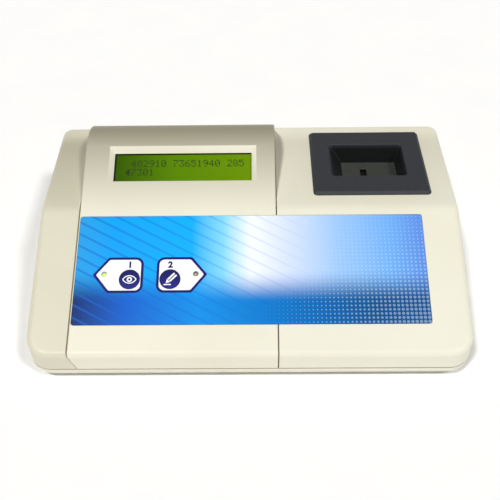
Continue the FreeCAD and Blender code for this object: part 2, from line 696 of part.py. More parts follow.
def graphic_overlay():
    sheet = rounded_block(overlay_left(), overlay_right(), OVERLAY_BOTTOM_V, OVERLAY_TOP_V,
                          -OVERLAY_THICKNESS, 0, OVERLAY_CORNER)
    holes = [rod(x, KEY_V, -WALL, WALL, KEY_RADIUS + KEY_HOLE_CLEARANCE) for x in KEY_X.values()]
    holes += [rod(x, LED_V, -WALL, WALL, LED_RADIUS + LED_HOLE_CLEARANCE) for x in LED_X.values()]
    return on_slope(cut(sheet, *holes))


def key_face(side):
    return on_slope(rod(KEY_X[side], KEY_V, -OVERLAY_THICKNESS, 0, KEY_RADIUS))


def key_plunger(side):
    head = rod(KEY_X[side], KEY_V, PLUNGER_N, -OVERLAY_THICKNESS, PLUNGER_RADIUS)
    stem = rod(KEY_X[side], KEY_V, STEM_TIP_N, PLUNGER_N, PLUNGER_STEM_RADIUS)
    return on_slope(fuse(head, stem))


def switch_stem(side):
    return on_slope(rod(KEY_X[side], KEY_V, SWITCH_TOP_N - SWITCH_STEM_DEPTH, STEM_TIP_N, SWITCH_STEM_RADIUS))


def switch_body(side):
    half = SWITCH_SIZE / 2
    x = KEY_X[side]
    block = box(x - half, x + half, KEY_V - half, KEY_V + half, KEYPAD_N, SWITCH_TOP_N)
    well = rod(x, KEY_V, SWITCH_TOP_N - SWITCH_STEM_DEPTH - 2 * KEY_TRAVEL, 0,
               SWITCH_STEM_RADIUS + SWITCH_STEM_CLEARANCE)
    return on_slope(block.cut(well))


def led(side):
    x = LED_X[side]
    barrel = rod(x, LED_V, -LED_LENGTH, -LED_RADIUS, LED_RADIUS)
    dome = Part.makeSphere(LED_RADIUS, Vector(x, LED_V, -LED_RADIUS))
    flange = rod(x, LED_V, -LED_LENGTH - LED_FLANGE, -LED_LENGTH, LED_FLANGE_RADIUS)
    return on_slope(fuse(barrel, dome, flange))


def led_spacers():
    spacers = []
    for x in LED_X.values():
        sleeve = rod(x, LED_V, KEYPAD_N, -LED_LENGTH - LED_FLANGE, LED_SPACER_RADIUS)
        bore = rod(x, LED_V, KEYPAD_N, -LED_LENGTH - LED_FLANGE, LED_LEAD_RADIUS)
        spacers.append(on_slope(sleeve.cut(bore)))
    return group(spacers)


def board_sheet(x, v, width, height, top_n, places):
    """Circuit board parallel to the slope, with its screw holes."""
    sheet = rounded_block(x - width / 2, x + width / 2, v - height / 2, v + height / 2,
                          top_n - BOARD_THICKNESS, top_n, 1.0)
    holes = [rod(px, pv, top_n - 2 * BOARD_THICKNESS, top_n + 1, SMALL_SCREW_RADIUS + SCREW_CLEARANCE)
             for px, pv in places]
    return on_slope(cut(sheet, *holes))


def slope_screws(places, board_n):
    """Screws that come up through a slope board into its posts."""
    one = screw(SMALL_SCREW_RADIUS, BOARD_THICKNESS + SMALL_SCREW_GRIP, SMALL_SCREW_HEAD_RADIUS,
                SMALL_SCREW_HEAD)
    return group(on_slope(placed(one, x, v, board_n - BOARD_THICKNESS)) for x, v in places)


def keypad_board():
    return board_sheet(KEY_MIDDLE, KEYPAD_BOARD_V, KEYPAD_BOARD_WIDTH, KEYPAD_BOARD_HEIGHT, KEYPAD_N,
                       keypad_places())


def display_board():
    return board_sheet(BEZEL_X, BEZEL_V, DISPLAY_BOARD_WIDTH, DISPLAY_BOARD_HEIGHT, DISPLAY_N,
                       display_places())


def display_window():
    base_width = WINDOW_WIDTH - 2 * WINDOW_SIDE_TAPER
    low = WINDOW_BOTTOM_V + WINDOW_BOTTOM_TAPER - LENS_MARGIN
    high = WINDOW_BOTTOM_V + WINDOW_HEIGHT - WINDOW_TOP_TAPER + LENS_MARGIN
    half = base_width / 2 + LENS_MARGIN
    return on_slope(rounded_block(WINDOW_X - half, WINDOW_X + half, low, high, LENS_N, -WALL, 1.0))


def glass_rectangle(margin):
    """(x0, x1, v0, v1) of the display opening grown by a margin."""
    half = BEZEL_OPENING_WIDTH / 2 + margin
    rise = BEZEL_OPENING_HEIGHT / 2 + margin
    return BEZEL_X - half, BEZEL_X + half, BEZEL_V - rise, BEZEL_V + rise


def display_bezel():
    can = box(*glass_rectangle(GLASS_MARGIN + BEZEL_WALL), DISPLAY_N, LENS_N)
    room = box(*glass_rectangle(GLASS_MARGIN), DISPLAY_N, BEZEL_N)
    opening = box(*glass_rectangle(0), BEZEL_N, LENS_N)
    return on_slope(cut(can, room, opening))


def display_glass():
    return on_slope(box(*glass_rectangle(GLASS_MARGIN), GLASS_N, BEZEL_N))


def display_backlight():
    return on_slope(box(*glass_rectangle(GLASS_MARGIN), DISPLAY_N, GLASS_N))


def key_pocket():
    flange = rounded_block(POCKET_X0, POCKET_X1, POCKET_Y0, POCKET_Y1, DECK_Z, POCKET_TOP, POCKET_CORNER)
    top_rim = [edge for edge in flange.Edges if edge.BoundBox.ZMin > POCKET_TOP - 0.001]
    flange = flange.makeChamfer(POCKET_BEVEL, top_rim)
    body = box(*pocket_body(0), POCKET_FLOOR - POCKET_WALL, DECK_Z)
    posts = [rod(x, y, DECK_Z - WALL + POCKET_CLEARANCE, DECK_Z, POCKET_POST_RADIUS)
             for x, y in pocket_post_places()]
    x0, x1, y0, y1 = MOUTH
    base = (x0 + CAVITY_LEFT_TAPER, x1 - CAVITY_RIGHT_TAPER, y0 + CAVITY_FRONT_TAPER, y1 - CAVITY_REAR_TAPER)
    cavity = frustum(base, (CAVITY_CORNER,) * 4, POCKET_FLOOR, MOUTH, (MOUTH_CORNER,) * 4, POCKET_TOP)
    slot_x = base[0] + SLOT_LEFT_INSET
    slot_y = base[3] - SLOT_REAR_INSET
    slot = box(slot_x, slot_x + SLOT_WIDTH, slot_y - SLOT_LENGTH, slot_y, POCKET_FLOOR - SLOT_DEPTH,
               POCKET_FLOOR + 1)
    pilot_top = DECK_Z - WALL + POCKET_SCREW_GRIP + PILOT_END_GAP / 2
    pilots = [rod(x, y, 0, pilot_top, SMALL_SCREW_RADIUS + PILOT_CLEARANCE) for x, y in pocket_post_places()]
    hollow = cut(fuse(flange, body, *posts), cavity)
    rim = [edge for edge in hollow.Edges if edge.BoundBox.ZMin > POCKET_TOP - 0.001
           and edge.BoundBox.XMin > x0 - 1 and edge.BoundBox.XMax < x1 + 1
           and edge.BoundBox.YMin > y0 - 1 and edge.BoundBox.YMax < y1 + 1]
    return cut(hollow.makeFillet(MOUTH_EDGE, rim), slot, *pilots)


def pocket_screws():
    one = screw(SMALL_SCREW_RADIUS, POCKET_SCREW_GRIP, POCKET_SCREW_HEAD_RADIUS, SMALL_SCREW_HEAD)
    return group(placed(one, x, y, DECK_Z - WALL) for x, y in pocket_post_places())


def antenna_bobbin():
    low = BOBBIN_TOP - BOBBIN_HEIGHT
    core = box(*pocket_body(BOBBIN_WALL), low, BOBBIN_TOP)
    cheek = pocket_body(BOBBIN_WALL + COIL_BUILD)
    cheeks = [box(*cheek, z, z + BOBBIN_CHEEK) for z in (low, BOBBIN_TOP - BOBBIN_CHEEK)]
    return cut(fuse(core, *cheeks), box(*pocket_body(0), low - 1, BOBBIN_TOP + 1))


def antenna_coil():
    low = BOBBIN_TOP - BOBBIN_HEIGHT + BOBBIN_CHEEK
    high = BOBBIN_TOP - BOBBIN_CHEEK
    return box(*pocket_body(BOBBIN_WALL + COIL_BUILD), low, high).cut(
        box(*pocket_body(BOBBIN_WALL), low, high))


def antenna_leads():
    start_x = pocket_body(BOBBIN_WALL + COIL_BUILD)[0]
    coil_z = BOBBIN_TOP - BOBBIN_HEIGHT / 2
    drop_x = SEAM_RIGHT + 2 * WALL + LEAD_BEND
    run_z = BOARD_TOP + MAIN_HEADER_HEIGHT + LEAD_BEND
    end_x = BOARD_X1 - STANDOFF_INSET - STANDOFF_RADIUS
    leads = []
    for i in (-1, 1):
        y = (MOUTH[2] + MOUTH[3]) / 2 + i * LEAD_BEND / 2
        route = [Vector(start_x, y, coil_z), Vector(drop_x, y, coil_z), Vector(drop_x, y, run_z),
                 Vector(end_x, y, run_z), Vector(end_x, y, BOARD_TOP)]
        leads.append(tube(route, LEAD_RADIUS, LEAD_BEND))
    return group(leads)


def standoff_places():
    return [(x, y) for x in (BOARD_X0 + STANDOFF_INSET, BOARD_X1 - STANDOFF_INSET)
            for y in (BOARD_Y0 + STANDOFF_INSET, BOARD_Y1 - STANDOFF_INSET)]


def main_board():
    sheet = rounded_block(BOARD_X0, BOARD_X1, BOARD_Y0, BOARD_Y1, BOARD_Z, BOARD_TOP, 1.0)
    holes = [rod(x, y, 0, DECK_Z, SMALL_SCREW_RADIUS + SCREW_CLEARANCE) for x, y in standoff_places()]
    return cut(sheet, *holes)


def board_screws():
    one = screw(SMALL_SCREW_RADIUS, BOARD_THICKNESS + SMALL_SCREW_GRIP, SMALL_SCREW_HEAD_RADIUS,
                SMALL_SCREW_HEAD)
    one.rotate(Vector(0, 0, 0), Vector(1, 0, 0), 180)
    return group(placed(one, x, y, BOARD_TOP) for x, y in standoff_places())


def on_board(x, y, width, length, height):
    """Block standing on the main board, centred at a place."""
    return box(x - width / 2, x + width / 2, y - length / 2, y + length / 2, BOARD_TOP, BOARD_TOP + height)


def board_middle():
    return (BOARD_X0 + BOARD_X1) / 2, BOARD_Y0 + MAIN_BOARD_LENGTH / 2


def chip_place():
    return board_middle()[0], CREASE_Y - CHIP_FRONT


def microcontroller():
    x, y = chip_place()
    return on_board(x, y, CHIP_SIZE, CHIP_SIZE, CHIP_HEIGHT)


def memory_chip():
    x, y = chip_place()
    return on_board(x - CHIP_SIZE / 2 - MEMORY_LENGTH, y, MEMORY_WIDTH, MEMORY_LENGTH, CHIP_HEIGHT)


def crystal():
    x, y = chip_place()
    return on_board(x, y - CHIP_SIZE / 2 - CRYSTAL_WIDTH, CRYSTAL_LENGTH, CRYSTAL_WIDTH, CRYSTAL_HEIGHT)


def regulator_place():
    return BOARD_X0 + 2 * STANDOFF_INSET + HEATSINK_WIDTH / 2, board_middle()[1] + CHIP_SIZE


def voltage_regulator():
    x, y = regulator_place()
    return on_board(x, y, REGULATOR_WIDTH, REGULATOR_THICKNESS, REGULATOR_HEIGHT)


def heatsink():
    x, y = regulator_place()
    seat = y + REGULATOR_THICKNESS / 2
    top = BOARD_TOP + HEATSINK_HEIGHT
    base = box(x - HEATSINK_WIDTH / 2, x + HEATSINK_WIDTH / 2, seat, seat + HEATSINK_BASE, BOARD_TOP, top)
    pitch = (HEATSINK_WIDTH - FIN_THICKNESS) / (FIN_COUNT - 1)
    fins = []
    for i in range(FIN_COUNT):
        left = x - HEATSINK_WIDTH / 2 + i * pitch
        fins.append(box(left, left + FIN_THICKNESS, seat, seat + HEATSINK_BASE + FIN_LENGTH, BOARD_TOP, top))
    return fuse(base, *fins)


def capacitors():
    x, y = board_middle()
    return group(rod(x + i * CAPACITOR_PITCH, y + CHIP_SIZE + CAPACITOR_RADIUS, BOARD_TOP,
                     BOARD_TOP + CAPACITOR_HEIGHT, CAPACITOR_RADIUS) for i in (0, 1))


def buzzer():
    x, y = chip_place()
    x += CHIP_SIZE + BUZZER_RADIUS
    can = rod(x, y, BOARD_TOP, BOARD_TOP + BUZZER_HEIGHT, BUZZER_RADIUS)
    return can.cut(rod(x, y, BOARD_TOP + BUZZER_HEIGHT / 2, DECK_Z, BUZZER_HOLE_RADIUS))


def ribbon_route(v, board_n):
    """Middle line of a ribbon in (y, z): square off its board, then straight down to the main board."""
    top = slope_point(v, board_n - BOARD_THICKNESS - BOARD_HEADER_HEIGHT)
    knee = slope_point(v, board_n - BOARD_THICKNESS - BOARD_HEADER_HEIGHT - RIBBON_STRAIGHT)
    return top, knee, (knee[0], BOARD_TOP + MAIN_HEADER_HEIGHT)


def keypad_ribbon_place():
    """Middle x, v and board face of the keypad ribbon."""
    return KEY_MIDDLE + LED_SPAN / 4 + RIBBON_WIDTH / 4, KEYPAD_BOARD_V + HEADER_DEPTH, KEYPAD_N


def display_ribbon_place():
    """Middle x, v and board face of the display ribbon."""
    return BEZEL_X, BEZEL_V - DISPLAY_BOARD_HEIGHT / 2 + HEADER_DEPTH, DISPLAY_N


def ribbon(x, v, board_n):
    """Flat cable of constant thickness along its route."""
    top, knee, foot = ribbon_route(v, board_n)
    half = RIBBON_THICKNESS / 2
    angle = math.radians(SLOPE_ANGLE)
    shift = (half * math.cos(angle), half * math.sin(angle))
    bend = half * math.tan(angle / 2)
    outline = ((top[0] - shift[0], top[1] - shift[1]), (top[0] + shift[0], top[1] + shift[1]),
               (knee[0] + half, knee[1] + bend), (foot[0] + half, foot[1]), (foot[0] - half, foot[1]),
               (knee[0] - half, knee[1] - bend))
    radii = (0, 0, RIBBON_BEND + half, 0, 0, RIBBON_BEND - half)
    return prism_x(outline, radii, x - RIBBON_WIDTH / 2, x + RIBBON_WIDTH / 2)


def ribbon_headers():
    headers = []
    for x, v, board_n in (keypad_ribbon_place(), display_ribbon_place()):
        half = RIBBON_WIDTH / 2
        deep = HEADER_DEPTH / 2
        under = board_n - BOARD_THICKNESS
        low = under - BOARD_HEADER_HEIGHT
        headers.append(on_slope(box(x - half, x + half, v - deep, v + deep, low, under)))
        headers.append(on_board(x, ribbon_route(v, board_n)[2][0], RIBBON_WIDTH, HEADER_DEPTH,
                                MAIN_HEADER_HEIGHT))
    return group(headers)


def inlet_hole():
    return rod_y(INLET_X, INLET_Z, REAR_INSIDE_Y - 1, REAR_Y + 1, INLET_NOSE_RADIUS + CONNECTOR_CLEARANCE)


def power_inlet():
    face = REAR_Y + INLET_NOSE_SHOW
    half = INLET_WIDTH / 2
    block = box(INLET_X - half, INLET_X + half, REAR_INSIDE_Y - INLET_LENGTH, REAR_INSIDE_Y, BOARD_TOP,
                BOARD_TOP + INLET_HEIGHT)
    nose = rod_y(INLET_X, INLET_Z, REAR_INSIDE_Y - 1, face, INLET_NOSE_RADIUS)
    bore = rod_y(INLET_X, INLET_Z, face - INLET_BORE_DEPTH, face + 1, INLET_BORE_RADIUS)
    return cut(fuse(block, nose), bore)


def power_inlet_pin():
    face = REAR_Y + INLET_NOSE_SHOW
    pin = rod_y(INLET_X, INLET_Z, face - INLET_BORE_DEPTH, face - 1, INLET_PIN_RADIUS)
    tip = [edge for edge in pin.Edges if edge.BoundBox.YMin > face - 1.001]
    return pin.makeFillet(INLET_PIN_RADIUS / 2, tip)


def port_outline(grow):
    """Corners (x, z) of the connector's D outline, wide side up, grown by an amount."""
    rise = PORT_SHELL_HEIGHT / 2
    lean = rise * math.tan(math.radians(PORT_SHELL_TAPER))
    half = PORT_SHELL_WIDTH / 2 + grow
    high = rise + grow
    return ((PORT_X - half - lean, PORT_Z + high), (PORT_X + half + lean, PORT_Z + high),
            (PORT_X + half - lean, PORT_Z - high), (PORT_X - half + lean, PORT_Z - high))


def port_prism(grow, y0, y1):
    """Solid with the connector's D outline between two Y planes."""
    points = [Vector(x, y0, z) for x, z in port_outline(grow)]
    face = Part.Face(Part.Wire(rounded_edges(points, [PORT_SHELL_CORNER + grow] * 4, True)))
    return face.extrude(Vector(0, y1 - y0, 0))


def jackscrew_places():
    return [PORT_X - JACKSCREW_SPACING / 2, PORT_X + JACKSCREW_SPACING / 2]


def port_hole():
    studs = [rod_y(x, PORT_Z, REAR_INSIDE_Y - 1, REAR_Y + 1, JACKSCREW_STUD_RADIUS + CONNECTOR_CLEARANCE)
             for x in jackscrew_places()]
    return fuse(port_prism(CONNECTOR_CLEARANCE, REAR_INSIDE_Y - 1, REAR_Y + 1), *studs)


def serial_port_shell():
    half = PORT_FLANGE_WIDTH / 2
    rise = PORT_FLANGE_HEIGHT / 2
    back = REAR_INSIDE_Y - PORT_FLANGE
    plate = box(PORT_X - half, PORT_X + half, back, REAR_INSIDE_Y, PORT_Z - rise, PORT_Z + rise)
    shell = port_prism(0, back, REAR_INSIDE_Y + PORT_SHELL_LENGTH)
    room = port_prism(-PORT_SHELL_SHEET, back, REAR_INSIDE_Y + PORT_SHELL_LENGTH)
    holes = [rod_y(x, PORT_Z, back, REAR_INSIDE_Y, JACKSCREW_STUD_RADIUS + CONNECTOR_CLEARANCE)
             for x in jackscrew_places()]
    return cut(fuse(plate, shell), room, *holes)


def serial_port_insert():
    back = REAR_INSIDE_Y - PORT_FLANGE
    face = REAR_INSIDE_Y + PORT_SHELL_LENGTH
    half = (PORT_SHELL_WIDTH + PORT_SHELL_HEIGHT / 2) / 2
    block = box(PORT_X - half, PORT_X + half, back - PORT_BODY_LENGTH, back, BOARD_TOP,
                BOARD_TOP + PORT_FLANGE_HEIGHT)
    tongue = port_prism(-PORT_SHELL_SHEET, back, face)
    contacts = []
    for count, step in ((PORT_TOP_ROW, 1), (PORT_TOP_ROW - 1, -1)):
        z = PORT_Z + step * PORT_ROW_PITCH / 2
        for i in range(count):
            x = PORT_X + (i - (count - 1) / 2) * PORT_CONTACT_PITCH
            contacts.append(rod_y(x, z, face - PORT_CONTACT_DEPTH, face, PORT_CONTACT_RADIUS))
    return cut(fuse(block, tongue), *contacts)


def serial_port_jackscrews():
    screws = []
    radius = JACKSCREW_FLATS / math.sqrt(3)
    for x in jackscrew_places():
        corners = [Vector(x + radius * math.cos(math.radians(60 * i)), REAR_Y,
                          PORT_Z + radius * math.sin(math.radians(60 * i))) for i in range(6)]
        head = Part.Face(Part.makePolygon(corners + corners[:1])).extrude(Vector(0, REAR_REACH, 0))
        stud = rod_y(x, PORT_Z, REAR_INSIDE_Y - PORT_FLANGE, REAR_Y, JACKSCREW_STUD_RADIUS)
        screws.append(cut(fuse(head, stud), rod_y(x, PORT_Z, REAR_Y, REAR_Y + REAR_REACH, JACKSCREW_BORE)))
    return group(screws)


def switch_block(margin, y0, y1):
    """Upright rectangle of the switch frame, set in by a margin, between two Y planes."""
    half = FRAME_WIDTH / 2 - margin
    rise = FRAME_HEIGHT / 2 - margin
    return box(SWITCH_X - half, SWITCH_X + half, y0, y1, SWITCH_Z - rise, SWITCH_Z + rise)


def switch_hole():
    return switch_block(FRAME_BODY_MARGIN - CONNECTOR_CLEARANCE, REAR_INSIDE_Y - 1, REAR_Y + 1)


def power_switch_frame():
    face = REAR_Y + FRAME_FLANGE
    back = REAR_INSIDE_Y - FRAME_BODY_DEPTH
    flange = switch_block(0, REAR_Y, face)
    outer_edges = [edge for edge in flange.Edges if edge.BoundBox.YMin > face - 0.001]
    flange = flange.makeFillet(FRAME_FLANGE / 3, outer_edges)
    body = switch_block(FRAME_BODY_MARGIN, back, REAR_Y + FRAME_FLANGE / 3)
    half = ROCKER_WIDTH / 2 + ROCKER_CLEARANCE / 2
    rise = ROCKER_HALF_LENGTH + ROCKER_CLEARANCE
    room = box(SWITCH_X - half, SWITCH_X + half, back + FRAME_BACK, face + 1, SWITCH_Z - rise,
               SWITCH_Z + rise)
    reach = half + PIVOT_LENGTH + PIVOT_CLEARANCE
    pivot = Part.makeCylinder(PIVOT_RADIUS + PIVOT_CLEARANCE, 2 * reach,
                              Vector(SWITCH_X - reach, PIVOT_Y, SWITCH_Z), Vector(1, 0, 0))
    return cut(fuse(flange, body), room, pivot)


def power_switch_rocker():
    rise = ROCKER_HALF_LENGTH * math.tan(math.radians(ROCKER_HALF_SWING))
    outline = ((PIVOT_Y + ROCKER_FACE_REACH, SWITCH_Z),
               (PIVOT_Y + ROCKER_FACE_REACH + rise, SWITCH_Z + ROCKER_HALF_LENGTH),
               (PIVOT_Y - ROCKER_BACK_REACH, SWITCH_Z + ROCKER_BACK_HALF),
               (PIVOT_Y - ROCKER_BACK_REACH, SWITCH_Z - ROCKER_BACK_HALF),
               (PIVOT_Y + ROCKER_FACE_REACH + rise, SWITCH_Z - ROCKER_HALF_LENGTH))
    half = ROCKER_WIDTH / 2
    paddle = prism_x(outline, (4 * ROCKER_CLEARANCE, 0, 0, 0, 0), SWITCH_X - half, SWITCH_X + half)
    reach = half + ROCKER_CLEARANCE / 2 + PIVOT_LENGTH
    pivot = Part.makeCylinder(PIVOT_RADIUS, 2 * reach, Vector(SWITCH_X - reach, PIVOT_Y, SWITCH_Z),
                              Vector(1, 0, 0))
    rocker = fuse(paddle, pivot)
    rocker.rotate(Vector(SWITCH_X, PIVOT_Y, SWITCH_Z), Vector(1, 0, 0), -ROCKER_HALF_SWING)
    return rocker


def switch_leads():
    back = REAR_INSIDE_Y - FRAME_BODY_DEPTH
    leads = []
    for i in (-1, 1):
        x = SWITCH_X + i * SWITCH_LEAD_PITCH / 2
        route = [Vector(x, back, SWITCH_Z), Vector(x, back - 2 * LEAD_BEND, SWITCH_Z),
                 Vector(x, back - 2 * LEAD_BEND, BOARD_TOP)]
        leads.append(tube(route, LEAD_RADIUS, LEAD_BEND))
    return group(leads)


SUB_PARTS = {
    "lower_case": lower_case(),
    "rubber_feet": rubber_feet(),
    "case_screws": case_screws(),
    "left_end_cap": left_end_cap(),
    "display_cover": display_cover(),
    "reader_cover": reader_cover(),
    "graphic_overlay": graphic_overlay(),
    "led_spacers": led_spacers(),
    "keypad_board": keypad_board(),
    "keypad_screws": slope_screws(keypad_places(), KEYPAD_N),
    "keypad_ribbon": ribbon(*keypad_ribbon_place()),
    "display_window": display_window(),
    "display_bezel": display_bezel(),
    "display_glass": display_glass(),
    "display_backlight": display_backlight(),
    "display_board": display_board(),
    "display_screws": slope_screws(display_places(), DISPLAY_N),
    "display_ribbon": ribbon(*display_ribbon_place()),
    "key_pocket": key_pocket(),
    "pocket_screws": pocket_screws(),
    "antenna_bobbin": antenna_bobbin(),
    "antenna_coil": antenna_coil(),
    "antenna_leads": antenna_leads(),
    "main_board": main_board(),
    "board_screws": board_screws(),
    "microcontroller": microcontroller(),
    "memory_chip": memory_chip(),
    "crystal": crystal(),
    "voltage_regulator": voltage_regulator(),
    "heatsink": heatsink(),
    "capacitors": capacitors(),
    "buzzer": buzzer(),
    "ribbon_headers": ribbon_headers(),
    "power_inlet": power_inlet(),
    "power_inlet_pin": power_inlet_pin(),
    "serial_port_shell": serial_port_shell(),
    "serial_port_insert": serial_port_insert(),
    "serial_port_jackscrews": serial_port_jackscrews(),
    "power_switch_frame": power_switch_frame(),
    "power_switch_rocker": power_switch_rocker(),
    "switch_leads": switch_leads(),
}
for side in ("read", "write"):
    SUB_PARTS[side + "_key_face"] = key_face(side)
    SUB_PARTS[side + "_key_plunger"] = key_plunger(side)
    SUB_PARTS[side + "_switch_stem"] = switch_stem(side)
    SUB_PARTS[side + "_switch_body"] = switch_body(side)
    SUB_PARTS[side + "_led"] = led(side)

os.makedirs("parts", exist_ok=True)
for node, shape in SUB_PARTS.items():
    shape.exportStep("parts/" + node + ".step")
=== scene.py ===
import json
import math
from functools import partial

import bpy
from mathutils import Matrix, Vector


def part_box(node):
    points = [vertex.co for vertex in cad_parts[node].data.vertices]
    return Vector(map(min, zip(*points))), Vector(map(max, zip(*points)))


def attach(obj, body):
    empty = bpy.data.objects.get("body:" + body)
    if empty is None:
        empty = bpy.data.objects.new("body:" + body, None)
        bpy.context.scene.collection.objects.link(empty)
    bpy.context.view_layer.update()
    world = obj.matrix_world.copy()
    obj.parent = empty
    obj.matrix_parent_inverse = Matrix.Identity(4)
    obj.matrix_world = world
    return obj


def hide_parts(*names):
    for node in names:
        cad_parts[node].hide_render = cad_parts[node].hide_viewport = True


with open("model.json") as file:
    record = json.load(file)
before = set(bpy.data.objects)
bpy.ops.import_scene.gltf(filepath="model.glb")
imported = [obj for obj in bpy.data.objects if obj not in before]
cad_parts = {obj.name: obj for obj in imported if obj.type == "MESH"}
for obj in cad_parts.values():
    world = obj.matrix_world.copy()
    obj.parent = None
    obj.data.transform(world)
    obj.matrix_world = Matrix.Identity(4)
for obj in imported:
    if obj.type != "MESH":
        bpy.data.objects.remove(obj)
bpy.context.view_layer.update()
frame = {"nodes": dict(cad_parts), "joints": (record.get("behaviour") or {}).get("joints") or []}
nodes = frame["nodes"]

# Lower case: a shallow tray moulded in ivory ABS, which carries the main board and the feet.
# The three upper covers are screwed down to it from below, along the parting line.
MM = 0.001
IVORY = "#E8E6D6"
IVORY_AGED = "#E3E0CD"
SPECK = "#A49A7C"
GROOVE_SHADE = "#A8A390"
GROOVE_REACH = 0.45


def linear(code):
    """Linear colour, with alpha, of an sRGB hex value."""
    parts = [int(code[i:i + 2], 16) / 255 for i in (1, 3, 5)]
    return [c / 12.92 if c <= 0.04045 else ((c + 0.055) / 1.055) ** 2.4 for c in parts] + [1.0]


def add(material, kind, inputs=None, stops=None, **settings):
    """Add one shader node, with its settings, its colour stops, and values or links in its sockets."""
    node = material.node_tree.nodes.new("ShaderNode" + kind)
    for name, value in settings.items():
        setattr(node, name, value)
    for socket, value in (inputs or {}).items():
        if isinstance(value, bpy.types.NodeSocket):
            material.node_tree.links.new(value, node.inputs[socket])
        else:
            node.inputs[socket].default_value = value
    for i, (place, code) in enumerate(stops or ()):
        elements = node.color_ramp.elements
        stop = elements[i] if i < 2 else elements.new(place)
        stop.position = place
        stop.color = linear(code)
    return node


def new_material(name, **constants):
    """A material with a Principled shader whose constant sockets are set directly."""
    material = bpy.data.materials.new(name)
    material.use_nodes = True
    shader = material.node_tree.nodes["Principled BSDF"]
    for socket, value in constants.items():
        shader.inputs[socket.replace("_", " ")].default_value = value
    return material, shader


def wire(material, output, shader, socket):
    """Link an output to one of the shader's sockets."""
    material.node_tree.links.new(output, shader.inputs[socket])


def moulded_abs(name, colour, aged, paint_shade):
    """Injection moulded ABS: a satin skin with spark-eroded grain, slow changes of tone and a layer of
    painted shade.
    """
    # The real grain is about 0.1 mm; it is drawn at 0.9 mm so that it shows.
    grain = 0.9 * MM
    tone = 70 * MM
    speck_spacing = 15 * MM
    satin = 0.42
    material, shader = new_material(name, IOR=1.53, Specular_IOR_Level=0.45)
    place = add(material, "TexCoord").outputs["Object"]
    slow = add(material, "TexNoise", {"Vector": place, "Scale": 1 / tone, "Detail": 3.0})
    fine = add(material, "TexNoise", {"Vector": place, "Scale": 1 / grain, "Detail": 2.0})
    blend = add(material, "ValToRGB", {"Fac": slow.outputs["Fac"]}, stops=((0.3, aged), (0.7, colour)))
    # A few dark specks lie in the resin, about 0.5 mm across and 15 mm apart.
    cells = add(material, "TexVoronoi", {"Vector": place, "Scale": 1 / speck_spacing})
    fleck = add(material, "MapRange", {"Value": cells.outputs["Distance"], "From Min": 0.012,
                                       "From Max": 0.024, "To Min": 0.5, "To Max": 0.0})
    flecked = add(material, "Mix", {"Factor": fleck.outputs["Result"], 6: blend.outputs["Color"],
                                    7: linear(SPECK)}, data_type="RGBA")
    wire(material, paint_shade(material, place, flecked.outputs["Result"]), shader, "Base Color")
    shine = add(material, "MapRange", {"Value": fine.outputs["Fac"], "From Min": 0.3, "From Max": 0.7,
                                       "To Min": satin - 0.05, "To Max": satin + 0.07})
    wire(material, shine.outputs["Result"], shader, "Roughness")
    bump = add(material, "Bump", {"Height": fine.outputs["Fac"], "Strength": 0.12, "Distance": 0.1 * MM})
    wire(material, bump.outputs["Normal"], shader, "Normal")
    return material


def groove_shade_line(material, place, skin):
    """Skin with a thin painted shadow line along the groove under the covers' lower edges."""
    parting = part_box("reader_cover")[0].z
    height = add(material, "SeparateXYZ", {"Vector": place}).outputs["Z"]
    # A thin dark line is painted at the parting height as the shadow in the groove.
    line = add(material, "Math", {0: height, 1: parting, 2: GROOVE_REACH * MM}, operation="COMPARE")
    lined = add(material, "Mix", {"Factor": line.outputs["Value"], 6: skin, 7: linear(GROOVE_SHADE)},
                data_type="RGBA")
    return lined.outputs["Result"]


def choose(piece):
    """Make one object the only one selected, and the active one."""
    bpy.ops.object.select_all(action="DESELECT")
    piece.select_set(True)
    bpy.context.view_layer.objects.active = piece


def apply_modifier(piece, kind, **settings):
    """Add a modifier with its settings and apply it at once."""
    choose(piece)
    modifier = piece.modifiers.new(kind.title(), kind)
    for name, value in settings.items():
        setattr(modifier, name, value)
    bpy.ops.object.modifier_apply(modifier=modifier.name)


def finished_copy(node, name, material, body="console", sharp=35):
    """Copy of a CAD node with its triangles merged and its rounds shaded smooth, standing for the node."""
    piece = bpy.data.objects.new(name, nodes[node].data.copy())
    bpy.context.scene.collection.objects.link(piece)
    choose(piece)
    bpy.ops.object.mode_set(mode="EDIT")
    bpy.ops.mesh.select_all(action="SELECT")
    bpy.ops.mesh.remove_doubles(threshold=0.002 * MM)
    bpy.ops.mesh.customdata_custom_splitnormals_clear()
    bpy.ops.object.mode_set(mode="OBJECT")
    bpy.ops.object.shade_smooth_by_angle(angle=math.radians(sharp))
    apply_modifier(piece, "WEIGHTED_NORMAL", keep_sharp=True, weight=80)
    piece.data.materials.clear()
    piece.data.materials.append(material)
    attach(piece, body)
    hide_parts(node)
    return piece


base_abs = moulded_abs("Moulded ivory ABS, base with painted groove shade", IVORY, IVORY_AGED, groove_shade_line)
finished_copy("lower_case", "lower_case_moulding", base_abs)

# Rubber feet: four moulded silicone discs, pressed into shallow seats under the lower case.
# The rubber is matt and a little dusty, so it scatters light evenly.
RUBBER = "#17171A"
RUBBER_DUST = "#2A2A2B"


def speckled(name, dark, light, size, roughness, **constants):
    """A plain surface with a fine two-tone speckle of a given size in metres."""
    material, shader = new_material(name, Roughness=roughness, **constants)
    place = add(material, "TexCoord").outputs["Object"]
    speck = add(material, "TexNoise", {"Vector": place, "Scale": 1 / size, "Detail": 3.0})
    tone = add(material, "ValToRGB", {"Fac": speck.outputs["Fac"]}, stops=((0.35, dark), (0.65, light)))
    wire(material, tone.outputs["Color"], shader, "Base Color")
    bump = add(material, "Bump", {"Height": speck.outputs["Fac"], "Strength": 0.1, "Distance": 0.05 * MM})
    wire(material, bump.outputs["Normal"], shader, "Normal")
    return material


silicone = speckled("Black silicone rubber", RUBBER, RUBBER_DUST, 0.8 * MM, 0.85)
finished_copy("rubber_feet", "rubber_feet_pads", silicone)

